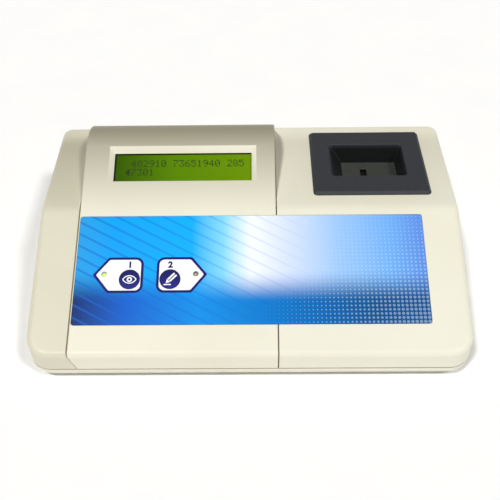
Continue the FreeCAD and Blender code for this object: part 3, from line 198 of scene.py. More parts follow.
# Case screws and the other fixing screws: thread-forming steel screws, bright zinc plated.
# The plating is a cool grey metal with slight haze.
ZINC = "#B9BCC0"
ZINC_HAZE = "#9EA2A8"


def dress(material, *names):
    """Give CAD nodes a finish and leave their shapes as they are."""
    for name in names:
        nodes[name].data.materials.clear()
        nodes[name].data.materials.append(material)


zinc = speckled("Bright zinc plated steel", ZINC_HAZE, ZINC, 0.6 * MM, 0.32, Metallic=1.0)
finished_copy("case_screws", "case_screw_set", zinc)
dress(zinc, "keypad_screws", "display_screws", "pocket_screws", "board_screws")

# Main board and the two small boards: glass epoxy sheet under green solder resist.
# The weave of the glass shows faintly through the resist.
RESIST = "#0E5A33"
RESIST_LIGHT = "#137044"


def board_material():
    """Green solder resist over woven glass epoxy."""
    weave = 0.7 * MM
    material, shader = new_material("Green solder resist", Roughness=0.35, IOR=1.55)
    place = add(material, "TexCoord").outputs["Object"]
    threads = add(material, "TexChecker", {"Vector": place, "Scale": 1 / weave,
                                           "Color1": linear(RESIST), "Color2": linear(RESIST_LIGHT)})
    wire(material, threads.outputs["Color"], shader, "Base Color")
    return material


resist = board_material()
dress(resist, "main_board", "keypad_board", "display_board")

# Components on the boards: moulded black epoxy bodies, a nickel crystal can, sleeved capacitors,
# and a black anodised heatsink bolted to the regulator's tab.
EPOXY = "#151517"
EPOXY_LIGHT = "#1F1F22"
NICKEL = "#C9C6BE"
NICKEL_HAZE = "#AFACA4"
SLEEVE = "#101A45"
SLEEVE_LIGHT = "#16225A"
ANODISED = "#131315"
ANODISED_LIGHT = "#1D1D20"
black_epoxy = speckled("Moulded black epoxy", EPOXY, EPOXY_LIGHT, 0.5 * MM, 0.55)
nickel = speckled("Nickel plated steel", NICKEL_HAZE, NICKEL, 0.9 * MM, 0.28, Metallic=1.0)
sleeve = speckled("Blue PVC shrink sleeve", SLEEVE, SLEEVE_LIGHT, 1.5 * MM, 0.3)
anodised = speckled("Black anodised aluminium", ANODISED, ANODISED_LIGHT, 0.4 * MM, 0.45, Metallic=0.6)
dress(black_epoxy, "microcontroller", "memory_chip", "voltage_regulator", "buzzer", "ribbon_headers",
      "read_switch_body", "write_switch_body", "read_switch_stem", "write_switch_stem")
dress(nickel, "crystal")
dress(sleeve, "capacitors")
dress(anodised, "heatsink")

# Ribbon cables and leads: stranded copper in extruded grey PVC, soldered or plugged at each end.
# The insulation is satin, with a faint change of tone at the pitch of its conductors.
PVC = "#8F9094"
PVC_LIGHT = "#A3A4A8"
grey_pvc = speckled("Extruded grey PVC", PVC, PVC_LIGHT, 1.27 * MM, 0.5)
dress(grey_pvc, "keypad_ribbon", "display_ribbon", "antenna_leads", "switch_leads")

# Antenna: a white nylon bobbin round the key pocket, wound with enamelled copper wire.
# The varnish gives the copper a warm, glossy red-brown.
NYLON = "#DAD9D2"
NYLON_LIGHT = "#E6E5DF"
COPPER = "#9A4A22"
COPPER_LIGHT = "#B8622F"
white_nylon = speckled("Moulded white nylon", NYLON, NYLON_LIGHT, 2.0 * MM, 0.45)
copper = speckled("Enamelled copper wire", COPPER, COPPER_LIGHT, 0.3 * MM, 0.25, Metallic=0.85)
dress(white_nylon, "antenna_bobbin", "led_spacers", "read_key_plunger", "write_key_plunger")
dress(copper, "antenna_coil")

# Left end cap, display cover and reader cover: three ivory ABS mouldings that meet at two upright seams.
# The end cap is painted a shade deeper than the covers, as painted shade for the weaker light at its side.
# Painted shade greys them towards the rear, most on the hump's crown, but not in the window's bevel.
CAP_SHADED_IVORY = "#DAD6C2"
CAP_SHADED_AGED = "#D4CFBA"
REAR_SHADE = "#938D78"
REAR_SHADE_START = -4
REAR_SHADE_FULL = 55
REAR_SHADE_FADE = 60
REAR_SHADE_END = 76
CAP_REAR_SHADE = 0.5
HUMP_REAR_SHADE = 1.0
DECK_REAR_SHADE = 0.2
UNSHADED_BEVEL_MIDDLE = (-40.75, 27.1)
UNSHADED_BEVEL_REACH = (45.25, 11.44)


def painted_rear_shade(cover, material, place, skin):
    """Skin under painted shade that deepens towards the rear, up to a share of cover, and ends at the rear
    wall; the window's bevel is left unshaded.
    """
    parts = add(material, "SeparateXYZ", {"Vector": place})
    behind = add(material, "MapRange", {"Value": parts.outputs["Y"], "From Min": REAR_SHADE_START * MM,
                                        "From Max": REAR_SHADE_FULL * MM, "To Max": cover})
    ahead = add(material, "MapRange", {"Value": parts.outputs["Y"], "From Min": REAR_SHADE_FADE * MM,
                                       "From Max": REAR_SHADE_END * MM, "To Min": 1.0, "To Max": 0.0},
                interpolation_type="SMOOTHSTEP")
    shade_ramp = add(material, "Math", {0: behind.outputs["Result"], 1: ahead.outputs["Result"]},
                  operation="MULTIPLY")
    # The window's bevel is left out of the painted shade.
    beside = add(material, "Math", {0: parts.outputs["X"], 1: UNSHADED_BEVEL_MIDDLE[0] * MM,
                                    2: UNSHADED_BEVEL_REACH[0] * MM}, operation="COMPARE")
    along = add(material, "Math", {0: parts.outputs["Y"], 1: UNSHADED_BEVEL_MIDDLE[1] * MM,
                                   2: UNSHADED_BEVEL_REACH[1] * MM}, operation="COMPARE")
    bevel_mask = add(material, "Math", {0: beside.outputs["Value"], 1: along.outputs["Value"]},
                operation="MULTIPLY")
    shade_share = add(material, "Mix", {"Factor": bevel_mask.outputs["Value"], 2: shade_ramp.outputs["Value"],
                                    3: 0.0}, data_type="FLOAT")
    shaded_skin = add(material, "Mix", {"Factor": shade_share.outputs["Result"], 6: skin, 7: linear(REAR_SHADE)},
                data_type="RGBA")
    return shaded_skin.outputs["Result"]


# The cap's deeper ivory is painted shade.
cap_abs = moulded_abs("Moulded ivory ABS, cap with painted shade", CAP_SHADED_IVORY, CAP_SHADED_AGED, partial(painted_rear_shade, CAP_REAR_SHADE))
finished_copy("left_end_cap", "left_end_cap_moulding", cap_abs)
hump_abs = moulded_abs("Moulded ivory ABS, hump with painted shade", IVORY, IVORY_AGED, partial(painted_rear_shade, HUMP_REAR_SHADE))
finished_copy("display_cover", "display_cover_moulding", hump_abs)
deck_abs = moulded_abs("Moulded ivory ABS, deck with painted shade", IVORY, IVORY_AGED, partial(painted_rear_shade, DECK_REAR_SHADE))
finished_copy("reader_cover", "reader_cover_moulding", deck_abs)

# Key pocket: a charcoal ABS insert that drops into the reader cover, with a bevelled flange.
# A key's head lies in its tapered well, over the antenna.
POCKET_FLANGE = "#33353B"
POCKET_WALL_SHADE = "#17191B"
POCKET_FLOOR_LIGHT = "#3C3E3B"
POCKET_NOTCH_SHADE = "#040404"
POCKET_DEPTH = 14.0
NOTCH_DEPTH = 2.0
pocket_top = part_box("key_pocket")[1].z


def pocket_abs():
    """Charcoal ABS with a spark texture: painted shade makes the walls dark and the notch black, and painted
    light makes the floor paler than the walls.
    """
    # The texture's grains are about 0.3 mm; they are drawn at 1.1 mm so that they show.
    grain = 1.1 * MM
    depth = (POCKET_DEPTH + NOTCH_DEPTH) * MM
    # The zones are shares of that depth, counted up from the bottom of the notch.
    floor = NOTCH_DEPTH / (POCKET_DEPTH + NOTCH_DEPTH)
    wall_top = 0.8
    flange = 0.93
    material, shader = new_material("Moulded charcoal ABS", IOR=1.53, Specular_IOR_Level=0.35)
    place = add(material, "TexCoord").outputs["Object"]
    height = add(material, "SeparateXYZ", {"Vector": place}).outputs["Z"]
    level = add(material, "MapRange", {"Value": height, "From Min": pocket_top - depth,
                                       "From Max": pocket_top})
    # The walls and notch are painted dark as shade, and the floor is painted paler as light.
    light_and_shade_zones = add(material, "ValToRGB", {"Fac": level.outputs["Result"]}, stops=(
        (0.0, POCKET_NOTCH_SHADE), (1.0, POCKET_FLANGE),
        (floor - 0.02, POCKET_NOTCH_SHADE), (floor - 0.015, POCKET_FLOOR_LIGHT),
        (floor + 0.01, POCKET_FLOOR_LIGHT), (floor + 0.03, POCKET_WALL_SHADE),
        (wall_top, POCKET_WALL_SHADE), (flange, POCKET_FLANGE)))
    specks = add(material, "TexNoise", {"Vector": place, "Scale": 1 / grain, "Detail": 3.0})
    mottle = add(material, "MapRange", {"Value": specks.outputs["Fac"], "From Min": 0.3, "From Max": 0.7,
                                        "To Min": 0.82, "To Max": 1.12})
    tone = add(material, "HueSaturation", {"Color": light_and_shade_zones.outputs["Color"],
                                           "Value": mottle.outputs["Result"]})
    wire(material, tone.outputs["Color"], shader, "Base Color")
    shine = add(material, "MapRange", {"Value": specks.outputs["Fac"], "From Min": 0.3, "From Max": 0.7,
                                       "To Min": 0.5, "To Max": 0.62})
    wire(material, shine.outputs["Result"], shader, "Roughness")
    bump = add(material, "Bump", {"Height": specks.outputs["Fac"], "Strength": 0.22, "Distance": 0.1 * MM})
    wire(material, bump.outputs["Normal"], shader, "Normal")
    return material


charcoal_abs = pocket_abs()
finished_copy("key_pocket", "key_pocket_insert", charcoal_abs)

# Graphic overlay: a polycarbonate film, printed on its back and stuck in a shallow seat on the slope.
# The print is a blue field with a pale glow, crossed by thin slanting lines and a fading field of dots.
OVERLAY_MIDDLE_V = -39.5
OVERLAY_THICKNESS = 0.5 * MM
OVERLAY_LEFT = -100.0
OVERLAY_RIGHT = 102.0
BAND_TOP_V = -40.0
BAND_FULL_V = -60.0
LINE_SLANT = math.radians(-62)
LINE_PITCH = 6.5
LINE_LEFT = -95.0
LINE_RIGHT = 40.0
LINE_STRENGTH = 0.55
DOT_PITCH = 2.4
DOT_CORNER = (100.0, -74.0, 0.0)
DOT_REACH = 95.0
DOT_LARGE = 0.42
DOT_SMALL = 0.02
DOT_STRENGTH = 0.3
press = Vector(frame["joints"][0]["axis"])
overlay_low, overlay_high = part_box("graphic_overlay")
overlay_middle = (overlay_low + overlay_high) / 2
slope_angle = math.atan2(press.y, -press.z)
panel_turn = Matrix.Rotation(slope_angle, 4, "X")
panel_up = panel_turn @ Vector((0, 1, 0))
panel_out = -press
crease = overlay_middle + panel_out * OVERLAY_THICKNESS / 2 - panel_up * OVERLAY_MIDDLE_V * MM
crease.x = 0
panel = Matrix.Translation(crease) @ panel_turn

UPPER_FIELD = ((0.0, "#2A9FE6"), (1.0, "#5C8CE4"), (0.1, "#0AA2F6"), (0.33, "#0CAEFF"), (0.42, "#84D8FF"),
               (0.5, "#F2F8FF"), (0.6, "#D6E2FF"), (0.75, "#9CC6F8"), (0.9, "#70AEF6"))
LOWER_FIELD = ((0.0, "#042A6C"), (1.0, "#0C4A90"), (0.15, "#0660CE"), (0.35, "#068EE8"), (0.55, "#0078CC"),
               (0.7, "#0066B2"), (0.85, "#08508E"))
LINE_BLUE = "#0B62CE"
DOT_PALE = "#CFEFFF"


def panel_place(material):
    """Millimetres across and up the slope from the crease, from Object coordinates."""
    turn = panel_turn.to_3x3().inverted()
    shift = turn @ crease / MM
    mapping = add(material, "Mapping", {
        "Vector": add(material, "TexCoord").outputs["Object"],
        "Scale": (1 / MM, 1 / MM, 1 / MM),
        "Rotation": (-slope_angle, 0, 0),
        "Location": tuple(-shift),
    })
    return mapping.outputs["Vector"]


def printed_film():
    """Reverse printed polycarbonate: a smooth, softly glossy film over flat ink."""
    # A wave texture turns once in pi tenths of a unit.
    wave_turn = 2 * math.pi / 20
    material, shader = new_material("Printed polycarbonate film", Roughness=0.3, IOR=1.58,
                                    Specular_IOR_Level=0.18)
    place = panel_place(material)
    parts = add(material, "SeparateXYZ", {"Vector": place})
    across = add(material, "MapRange", {"Value": parts.outputs["X"], "From Min": OVERLAY_LEFT,
                                        "From Max": OVERLAY_RIGHT})
    upper = add(material, "ValToRGB", {"Fac": across.outputs["Result"]}, stops=UPPER_FIELD)
    lower = add(material, "ValToRGB", {"Fac": across.outputs["Result"]}, stops=LOWER_FIELD)
    down = add(material, "MapRange", {"Value": parts.outputs["Y"], "From Min": BAND_TOP_V,
                                      "From Max": BAND_FULL_V}, interpolation_type="SMOOTHSTEP")
    field = add(material, "Mix", {"Factor": down.outputs["Result"], 6: upper.outputs["Color"],
                                  7: lower.outputs["Color"]}, data_type="RGBA")
    slant = add(material, "Mapping", {"Vector": place, "Rotation": (0, 0, LINE_SLANT)})
    waves = add(material, "TexWave", {"Vector": slant.outputs["Vector"], "Scale": wave_turn / LINE_PITCH,
                                      "Distortion": 0.0}, bands_direction="X")
    line = add(material, "MapRange", {"Value": waves.outputs["Fac"], "From Min": 0.86, "From Max": 0.97},
               interpolation_type="SMOOTHSTEP")
    fade = add(material, "MapRange", {"Value": parts.outputs["X"], "From Min": LINE_LEFT,
                                      "From Max": LINE_RIGHT, "To Min": LINE_STRENGTH, "To Max": 0.0})
    strength = add(material, "Math", {0: line.outputs["Result"], 1: fade.outputs["Result"]},
                   operation="MULTIPLY")
    lined = add(material, "Mix", {"Factor": strength.outputs["Value"], 6: field.outputs["Result"],
                                  7: linear(LINE_BLUE)}, data_type="RGBA")
    grid = add(material, "TexVoronoi", {"Vector": place, "Scale": 1 / DOT_PITCH, "Randomness": 0.0},
               voronoi_dimensions="2D")
    reach = add(material, "VectorMath", {0: place, 1: DOT_CORNER}, operation="DISTANCE")
    size = add(material, "MapRange", {"Value": reach.outputs["Value"], "From Min": 0.0, "From Max": DOT_REACH,
                                      "To Min": DOT_LARGE, "To Max": DOT_SMALL})
    inside = add(material, "Math", {0: grid.outputs["Distance"], 1: size.outputs["Result"]},
                 operation="LESS_THAN")
    faint = add(material, "Math", {0: inside.outputs["Value"], 1: DOT_STRENGTH}, operation="MULTIPLY")
    dotted = add(material, "Mix", {"Factor": faint.outputs["Value"], 6: lined.outputs["Result"],
                                   7: linear(DOT_PALE)}, data_type="RGBA")
    wire(material, dotted.outputs["Result"], shader, "Base Color")
    haze = add(material, "TexNoise", {"Vector": place, "Scale": 0.5, "Detail": 2.0})
    bump = add(material, "Bump", {"Height": haze.outputs["Fac"], "Strength": 0.05, "Distance": 0.05 * MM})
    wire(material, bump.outputs["Normal"], shader, "Normal")
    return material


film = printed_film()
finished_copy("graphic_overlay", "graphic_overlay_film", film)

# Key tags: the white five-sided prints with a navy edge that frame each key and its lamp.
# They are inks on the film, so each is a very thin plate on it, pierced for the key and the lamp.
NAVY = "#151778"
NAVY_DEEP = "#101263"
TAG_WHITE = "#FBFCFA"
TAG_SHADE = "#F8F9F9"
TAG_EDGE = 1.5
TAG_EDGE_LIFT = 0.03
TAG_LIFT = 0.05
TAG_TIP = 33.0
TAG_SHOULDER = 24.1
TAG_INSIDE = 3.8
TAG_TOP_V = -32.2
TAG_BOTTOM_V = -54.1
TAG_TIP_V = -43.0
TAG_ROUND = 4.6
TAG_TIP_ROUND = 0.8
LAMP_RADIUS = 1.5
INK_PIERCE = 0.15


def flat_face(name, outline, base=0):
    """Flat face drawn through an outline in mm, facing up, at a height in mm."""
    bpy.ops.object.select_all(action="DESELECT")
    bpy.ops.mesh.primitive_circle_add(vertices=len(outline), fill_type="NGON")
    piece = bpy.context.object
    piece.name = name
    for vertex, (x, v) in zip(piece.data.vertices, outline):
        vertex.co = (x * MM, v * MM, base * MM)
    if piece.data.polygons[0].normal.z < 0:
        piece.data.flip_normals()
    return piece


def plate(name, outline, base, thickness, material, rounds=None):
    """Thin plate on the slope: a flat face, rounded at its corners and given a thickness."""
    piece = flat_face(name, outline, base)
    for radius in sorted({r for r in rounds or () if r}):
        wanted = [Vector((x, v, base)) * MM for (x, v), r in zip(outline, rounds) if r == radius]
        bpy.ops.object.mode_set(mode="EDIT")
        bpy.ops.mesh.select_mode(type="VERT")
        bpy.ops.mesh.select_all(action="DESELECT")
        bpy.ops.object.mode_set(mode="OBJECT")
        for vertex in piece.data.vertices:
            vertex.select = any((vertex.co - place).length < 0.01 * MM for place in wanted)
        bpy.ops.object.mode_set(mode="EDIT")
        bpy.ops.mesh.bevel(offset=radius * MM, segments=8, affect="VERTICES")
        bpy.ops.object.mode_set(mode="OBJECT")
    apply_modifier(piece, "SOLIDIFY", thickness=thickness * MM, offset=1)
    piece.data.materials.clear()
    piece.data.materials.append(material)
    return piece


def pierce(piece, x, v, radius):
    """Cut a round hole through a plate on the slope."""
    bpy.ops.object.select_all(action="DESELECT")
    bpy.ops.mesh.primitive_cylinder_add(vertices=64, radius=radius * MM, depth=0.01,
                                        location=(x * MM, v * MM, 0))
    drill = bpy.context.object
    apply_modifier(piece, "BOOLEAN", object=drill, operation="DIFFERENCE", solver="EXACT")
    bpy.data.objects.remove(drill)


def lay(piece, body, place=panel):
    """Turn a piece drawn flat onto its face, by default the sloping front, with its place in its mesh."""
    piece.matrix_world = place
    choose(piece)
    bpy.ops.object.transform_apply()
    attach(piece, body)


def middle_on_slope(node):
    """Millimetres across and up the slope of a CAD node's middle."""
    low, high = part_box(node)
    place = panel.inverted() @ ((low + high) / 2)
    return place.x / MM, place.y / MM


def front_on_slope(node):
    """Height in mm above the slope of the front face of a flat CAD node that lies along it."""
    low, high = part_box(node)
    reach = high - low
    rise = reach.z * math.cos(slope_angle) - reach.y * math.sin(slope_angle)
    thickness = rise / math.cos(2 * slope_angle)
    return ((panel.inverted() @ ((low + high) / 2)).z + thickness / 2) / MM


tag_ink = speckled("White screen ink", TAG_SHADE, TAG_WHITE, 3 * MM, 0.35)
navy_ink = speckled("Navy screen ink", NAVY_DEEP, NAVY, 3 * MM, 0.35, Specular_IOR_Level=0.2)
key_place = {side: middle_on_slope(side + "_key_face") for side in ("read", "write")}
lamp_place = {side: middle_on_slope(side + "_led") for side in ("read", "write")}
key_middle = (key_place["read"][0] + key_place["write"][0]) / 2
key_low, key_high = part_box("read_key_face")
key_radius = (key_high.x - key_low.x) / 2 / MM


def tag_outline(side, edge):
    """Corners of one tag, set in by the width of its navy edge."""
    way = -1 if side == "read" else 1
    slant = math.atan2(TAG_TIP - TAG_SHOULDER, (TAG_TOP_V - TAG_BOTTOM_V) / 2)
    inside = key_middle + way * (TAG_INSIDE + edge)
    shoulder = key_middle + way * (TAG_SHOULDER - edge * math.tan(math.pi / 4 - slant / 2))
    tip = key_middle + way * (TAG_TIP - edge / math.cos(slant))
    top = TAG_TOP_V - edge
    bottom = TAG_BOTTOM_V + edge
    return [(inside, bottom), (inside, top), (shoulder, top), (tip, TAG_TIP_V), (shoulder, bottom)]


for side in ("read", "write"):
    for edge, lift, ink, label in ((0, TAG_EDGE_LIFT, navy_ink, "edge"),
                                   (TAG_EDGE, TAG_LIFT, tag_ink, "tag")):
        corner = TAG_ROUND - edge
        rounds = (corner, corner, TAG_TIP_ROUND, TAG_TIP_ROUND, TAG_TIP_ROUND)
        piece = plate(f"{side}_{label}_print", tag_outline(side, edge), 0, lift, ink, rounds)
        pierce(piece, *key_place[side], key_radius + INK_PIERCE)
        pierce(piece, *lamp_place[side], LAMP_RADIUS + INK_PIERCE)
        lay(piece, "console")

# Tag numerals: a plain navy 1 and 2 printed above the keys.
# They are made as flat type, turned to a mesh and given the thickness of the ink.
NUMERAL_SIZE = 5.2
NUMERAL_V = -38.6
NUMERAL_BOLD = 0.26
NUMERAL_LIFT = 0.07
for side, digit in (("read", "1"), ("write", "2")):
    bpy.ops.object.select_all(action="DESELECT")
    bpy.ops.object.text_add(location=(key_place[side][0] * MM, NUMERAL_V * MM, TAG_LIFT * MM))
    piece = bpy.context.object
    piece.name = f"{side}_numeral_print"
    piece.data.body = digit
    piece.data.size = NUMERAL_SIZE * MM
    piece.data.offset = NUMERAL_BOLD * MM
    piece.data.align_x = "CENTER"
    bpy.ops.object.convert(target="MESH")
    bpy.ops.object.transform_apply()
    apply_modifier(piece, "SOLIDIFY", thickness=(NUMERAL_LIFT - TAG_LIFT) * MM, offset=1)
    piece.data.materials.clear()
    piece.data.materials.append(navy_ink)
    lay(piece, "console")

# Read and write keys: round navy faces that travel half a millimetre in their holes.
# White pictograms are printed on them: an eye for reading and a pencil for writing.
KEY_SHEEN_PALE = "#24268A"
PICTOGRAM_LIFT = 0.02
EYE_HALF = 4.1
EYE_RISE = 2.6
EYE_LINE = 0.6
IRIS_RADIUS = 1.55
PUPIL_RADIUS = 0.7
PENCIL_WIDTH = 2.6
PENCIL_LENGTH = 5.6
PENCIL_POINT = 2.2
PENCIL_SLOT = 0.6
STROKE_LENGTH = 4.2
STROKE_HEIGHT = 0.7
PENCIL_TIP = -2.4
PENCIL_GAP = 0.3
STROKE_CORNER = -3.6
LID_POINTS = 20
CIRCLE_POINTS = 24


def arc(middle, radius, start, end, count):
    """Points along an arc, with angles in degrees."""
    points = []
    for i in range(count + 1):
        angle = math.radians(start + (end - start) * i / count)
        points.append((middle[0] + radius * math.cos(angle), middle[1] + radius * math.sin(angle)))
    return points


def circle(middle, radius):
    """Points round a circle."""
    step = 360 / CIRCLE_POINTS
    return arc(middle, radius, 0, 360 - step, CIRCLE_POINTS - 1)


def ring_plate(name, outline, width, body, place=panel):
    """White printed ring: a flat face inset by the width of its line, with the middle taken out."""
    piece = flat_face(name, outline)
    bpy.ops.object.mode_set(mode="EDIT")
    bpy.ops.mesh.select_mode(type="FACE")
    bpy.ops.mesh.select_all(action="SELECT")
    bpy.ops.mesh.inset(thickness=width * MM)
    bpy.ops.mesh.delete(type="FACE")
    bpy.ops.object.mode_set(mode="OBJECT")
    apply_modifier(piece, "SOLIDIFY", thickness=PICTOGRAM_LIFT * MM, offset=1)
    piece.data.materials.clear()
    piece.data.materials.append(tag_ink)
    lay(piece, body, place)


def key_ink():
    """Navy ink under a satin hard coat, with a painted reflection that makes it paler towards the lower edge
    of each key.
    """
    material, shader = new_material("Navy key print", Roughness=0.38, IOR=1.5, Specular_IOR_Level=0.2)
    place = panel_place(material)
    up = add(material, "SeparateXYZ", {"Vector": place}).outputs["Y"]
    down = add(material, "MapRange", {"Value": up, "From Min": key_place["read"][1] + key_radius,
                                      "From Max": key_place["read"][1] - key_radius})
    # The lower part of each key is painted paler as a reflection.
    blue = add(material, "ValToRGB", {"Fac": down.outputs["Result"]},
               stops=((0.3, NAVY_DEEP), (1.0, KEY_SHEEN_PALE)))
    wire(material, blue.outputs["Color"], shader, "Base Color")
    return material


key_face_ink = key_ink()
for side in ("read", "write"):
    face = finished_copy(side + "_key_face", side + "_key_cap", key_face_ink, side + "_key")

eye_x, eye_v = key_place["read"]
lid_radius = (EYE_HALF ** 2 + EYE_RISE ** 2) / (2 * EYE_RISE)
lid_angle = math.degrees(math.asin(EYE_HALF / lid_radius))
lid_drop = lid_radius - EYE_RISE
upper = arc((eye_x, eye_v - lid_drop), lid_radius, 90 + lid_angle, 90 - lid_angle, LID_POINTS)
lower = arc((eye_x, eye_v + lid_drop), lid_radius, 270 + lid_angle, 270 - lid_angle, LID_POINTS)
ring_plate("eye_lids_print", upper[:-1] + lower[:-1], EYE_LINE, "read_key")
ring_plate("eye_iris_print", circle((eye_x, eye_v), IRIS_RADIUS), IRIS_RADIUS - PUPIL_RADIUS, "read_key")

pen_x, pen_v = key_place["write"]


def along_pencil(reach, side):
    """A point on the pencil, which leans at 45 degrees with its point at the lower left."""
    lean = math.radians(45)
    start = (pen_x + PENCIL_TIP, pen_v + PENCIL_TIP)
    return (start[0] + reach * math.cos(lean) - side * math.sin(lean),
            start[1] + reach * math.sin(lean) + side * math.cos(lean))


half = PENCIL_WIDTH / 2
slot = PENCIL_SLOT / 2
shoulder = PENCIL_POINT + PENCIL_GAP
end = PENCIL_POINT + PENCIL_LENGTH
pencil_parts = {
    "pencil_point_print": ((0, 0), (PENCIL_POINT, -half), (PENCIL_POINT, half)),
    "pencil_upper_print": ((shoulder, slot), (end, slot), (end, half), (shoulder, half)),
    "pencil_lower_print": ((shoulder, -half), (end, -half), (end, -slot), (shoulder, -slot)),
}
for name, corners in pencil_parts.items():
    piece = plate(name, [along_pencil(*corner) for corner in corners], 0, PICTOGRAM_LIFT, tag_ink)
    lay(piece, "write_key")
stroke_left = pen_x + STROKE_CORNER
stroke_right = stroke_left + STROKE_LENGTH
stroke_low = pen_v + STROKE_CORNER
stroke_high = stroke_low + STROKE_HEIGHT
stroke = [(stroke_left, stroke_low), (stroke_right, stroke_low), (stroke_right, stroke_high),
          (stroke_left, stroke_high)]
piece = plate("pencil_stroke_print", stroke, 0, PICTOGRAM_LIFT, tag_ink)
lay(piece, "write_key")

# Lamps: two 3 mm epoxy light-emitting diodes that look out through the tags.
# The read lamp glows yellow-green; the write lamp is off and looks amber-brown.
LAMP_ON = "#CFE23A"
LAMP_OFF = "#A8874A"
LAMP_GLOW = 0.5


def tinted_epoxy(name, code, glow):
    """Cast tinted epoxy: a smooth, glossy lens with the chip's light spread through it."""
    material, shader = new_material(name, Roughness=0.12, IOR=1.55,
                                    Emission_Color=linear(code), Emission_Strength=glow)
    place = add(material, "TexCoord").outputs["Object"]
    cloud = add(material, "TexNoise", {"Vector": place, "Scale": 1 / (1.2 * MM), "Detail": 1.0})
    tone = add(material, "HueSaturation", {"Color": linear(code), "Value": cloud.outputs["Fac"]})
    bright = add(material, "BrightContrast", {"Color": tone.outputs["Color"], "Bright": 0.2})
    wire(material, bright.outputs["Color"], shader, "Base Color")
    return material


lit_epoxy = tinted_epoxy("Green epoxy, lit", LAMP_ON, LAMP_GLOW)
unlit_epoxy = tinted_epoxy("Amber epoxy, unlit", LAMP_OFF, 0.0)
finished_copy("read_led", "read_lamp", lit_epoxy)
finished_copy("write_led", "write_lamp", unlit_epoxy)

# Display glass: a liquid crystal cell in front of a yellow-green light guide, seen lit from behind.
# The light guide is brighter towards the right, where its lamps are.
CELL_DARK = "#385E00"
CELL_MIDDLE = "#619202"
CELL_BRIGHT = "#749E08"
CELL_GLOW = 0.12
GUIDE = "#B9CF6A"
GUIDE_LIGHT = "#C7DB7C"
cell_low, cell_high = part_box("display_glass")


def liquid_crystal():
    """Polarised glass over a green light guide: even colour with a slow change from side to side."""
    material, shader = new_material("Liquid crystal cell", Roughness=0.25, IOR=1.52,
                                    Specular_IOR_Level=0.15, Emission_Strength=CELL_GLOW)
    place = panel_place(material)
    parts = add(material, "SeparateXYZ", {"Vector": place})
    across = add(material, "MapRange", {"Value": parts.outputs["X"], "From Min": cell_low.x / MM,
                                        "From Max": cell_high.x / MM})
    tone = add(material, "ValToRGB", {"Fac": across.outputs["Result"]},
               stops=((0.0, CELL_DARK), (1.0, CELL_BRIGHT), (0.45, CELL_MIDDLE)))
    wire(material, tone.outputs["Color"], shader, "Base Color")
    wire(material, tone.outputs["Color"], shader, "Emission Color")
    return material


finished_copy("display_glass", "display_cell", liquid_crystal())
light_guide = speckled("Frosted acrylic light guide", GUIDE, GUIDE_LIGHT, 2 * MM, 0.4)
dress(light_guide, "display_backlight")

# Display characters: dark dots of the liquid crystal, five by seven to a character, in two rows.
# They show plain digits. A grid is cut to its lit cells, and each cell is inset to leave the dot.
DIGITS = {
    "0": "01110 10001 10011 10101 11001 10001 01110",
    "1": "00100 01100 00100 00100 00100 00100 01110",
    "2": "01110 10001 00001 00010 00100 01000 11111",
    "3": "11111 00010 00100 00010 00001 10001 01110",
    "4": "00010 00110 01010 10010 11111 00010 00010",
    "5": "11111 10000 11110 00001 00001 10001 01110",
    "6": "00110 01000 10000 11110 10001 10001 01110",
    "7": "11111 00001 00010 00100 01000 01000 01000",
    "8": "01110 10001 10001 01110 10001 10001 01110",
    "9": "01110 10001 10001 01111 00001 00010 01100",
    "<": "00001 00111 01111 11111 01111 00111 00001",
    " ": "00000 00000 00000 00000 00000 00000 00000",
}
DISPLAY_ROWS = (" 482910 73651940 285", "<7301               ")
COLUMNS = 20
DIGIT_WIDTH = 5
DIGIT_HEIGHT = 7
DOTS_ACROSS = 6
DOTS_DOWN = 9
CHARACTER_PITCH = 3.7
ROW_PITCH = 6.1
TEXT_LEFT = -76.6
TEXT_TOP_V = 34.7
DOT_GAP = 0.025
DOT_LIFT = 0.03
INK_GREEN = "#1D3502"
INK_GREEN_LIGHT = "#223C04"


def lit(column, row):
    """Whether one dot of the display's grid is dark, counting rows from the top."""
    line, down = divmod(row, DOTS_DOWN)
    place, over = divmod(column, DOTS_ACROSS)
    if down >= DIGIT_HEIGHT or over >= DIGIT_WIDTH:
        return False
    return DIGITS[DISPLAY_ROWS[line][place]].split()[down][over] == "1"


across_count = COLUMNS * DOTS_ACROSS
down_count = len(DISPLAY_ROWS) * DOTS_DOWN
text_width = COLUMNS * CHARACTER_PITCH
text_height = len(DISPLAY_ROWS) * ROW_PITCH
bpy.ops.object.select_all(action="DESELECT")
bpy.ops.mesh.primitive_grid_add(x_subdivisions=across_count, y_subdivisions=down_count, size=1)
dots = bpy.context.object
dots.name = "display_characters"
glass_n = front_on_slope("display_glass")
for vertex in dots.data.vertices:
    vertex.co = ((TEXT_LEFT + (vertex.co.x + 0.5) * text_width) * MM,
                 (TEXT_TOP_V - (0.5 - vertex.co.y) * text_height) * MM, glass_n * MM)
cell_width = text_width / across_count
cell_height = text_height / down_count
for polygon in dots.data.polygons:
    column = int((polygon.center.x / MM - TEXT_LEFT) / cell_width)
    row = int((TEXT_TOP_V - polygon.center.y / MM) / cell_height)
    polygon.select = not lit(column, row)
bpy.ops.object.mode_set(mode="EDIT")
bpy.ops.mesh.select_mode(type="FACE")
bpy.ops.mesh.delete(type="FACE")
bpy.ops.mesh.select_all(action="SELECT")
bpy.ops.mesh.inset(thickness=DOT_GAP * MM, use_individual=True)
bpy.ops.mesh.select_all(action="INVERT")
bpy.ops.mesh.delete(type="FACE")
bpy.ops.object.mode_set(mode="OBJECT")
apply_modifier(dots, "SOLIDIFY", thickness=DOT_LIFT * MM, offset=1)
crystal_ink = speckled("Dark liquid crystal", INK_GREEN, INK_GREEN_LIGHT, 4 * MM, 0.4)
dots.data.materials.clear()
dots.data.materials.append(crystal_ink)
lay(dots, "console")

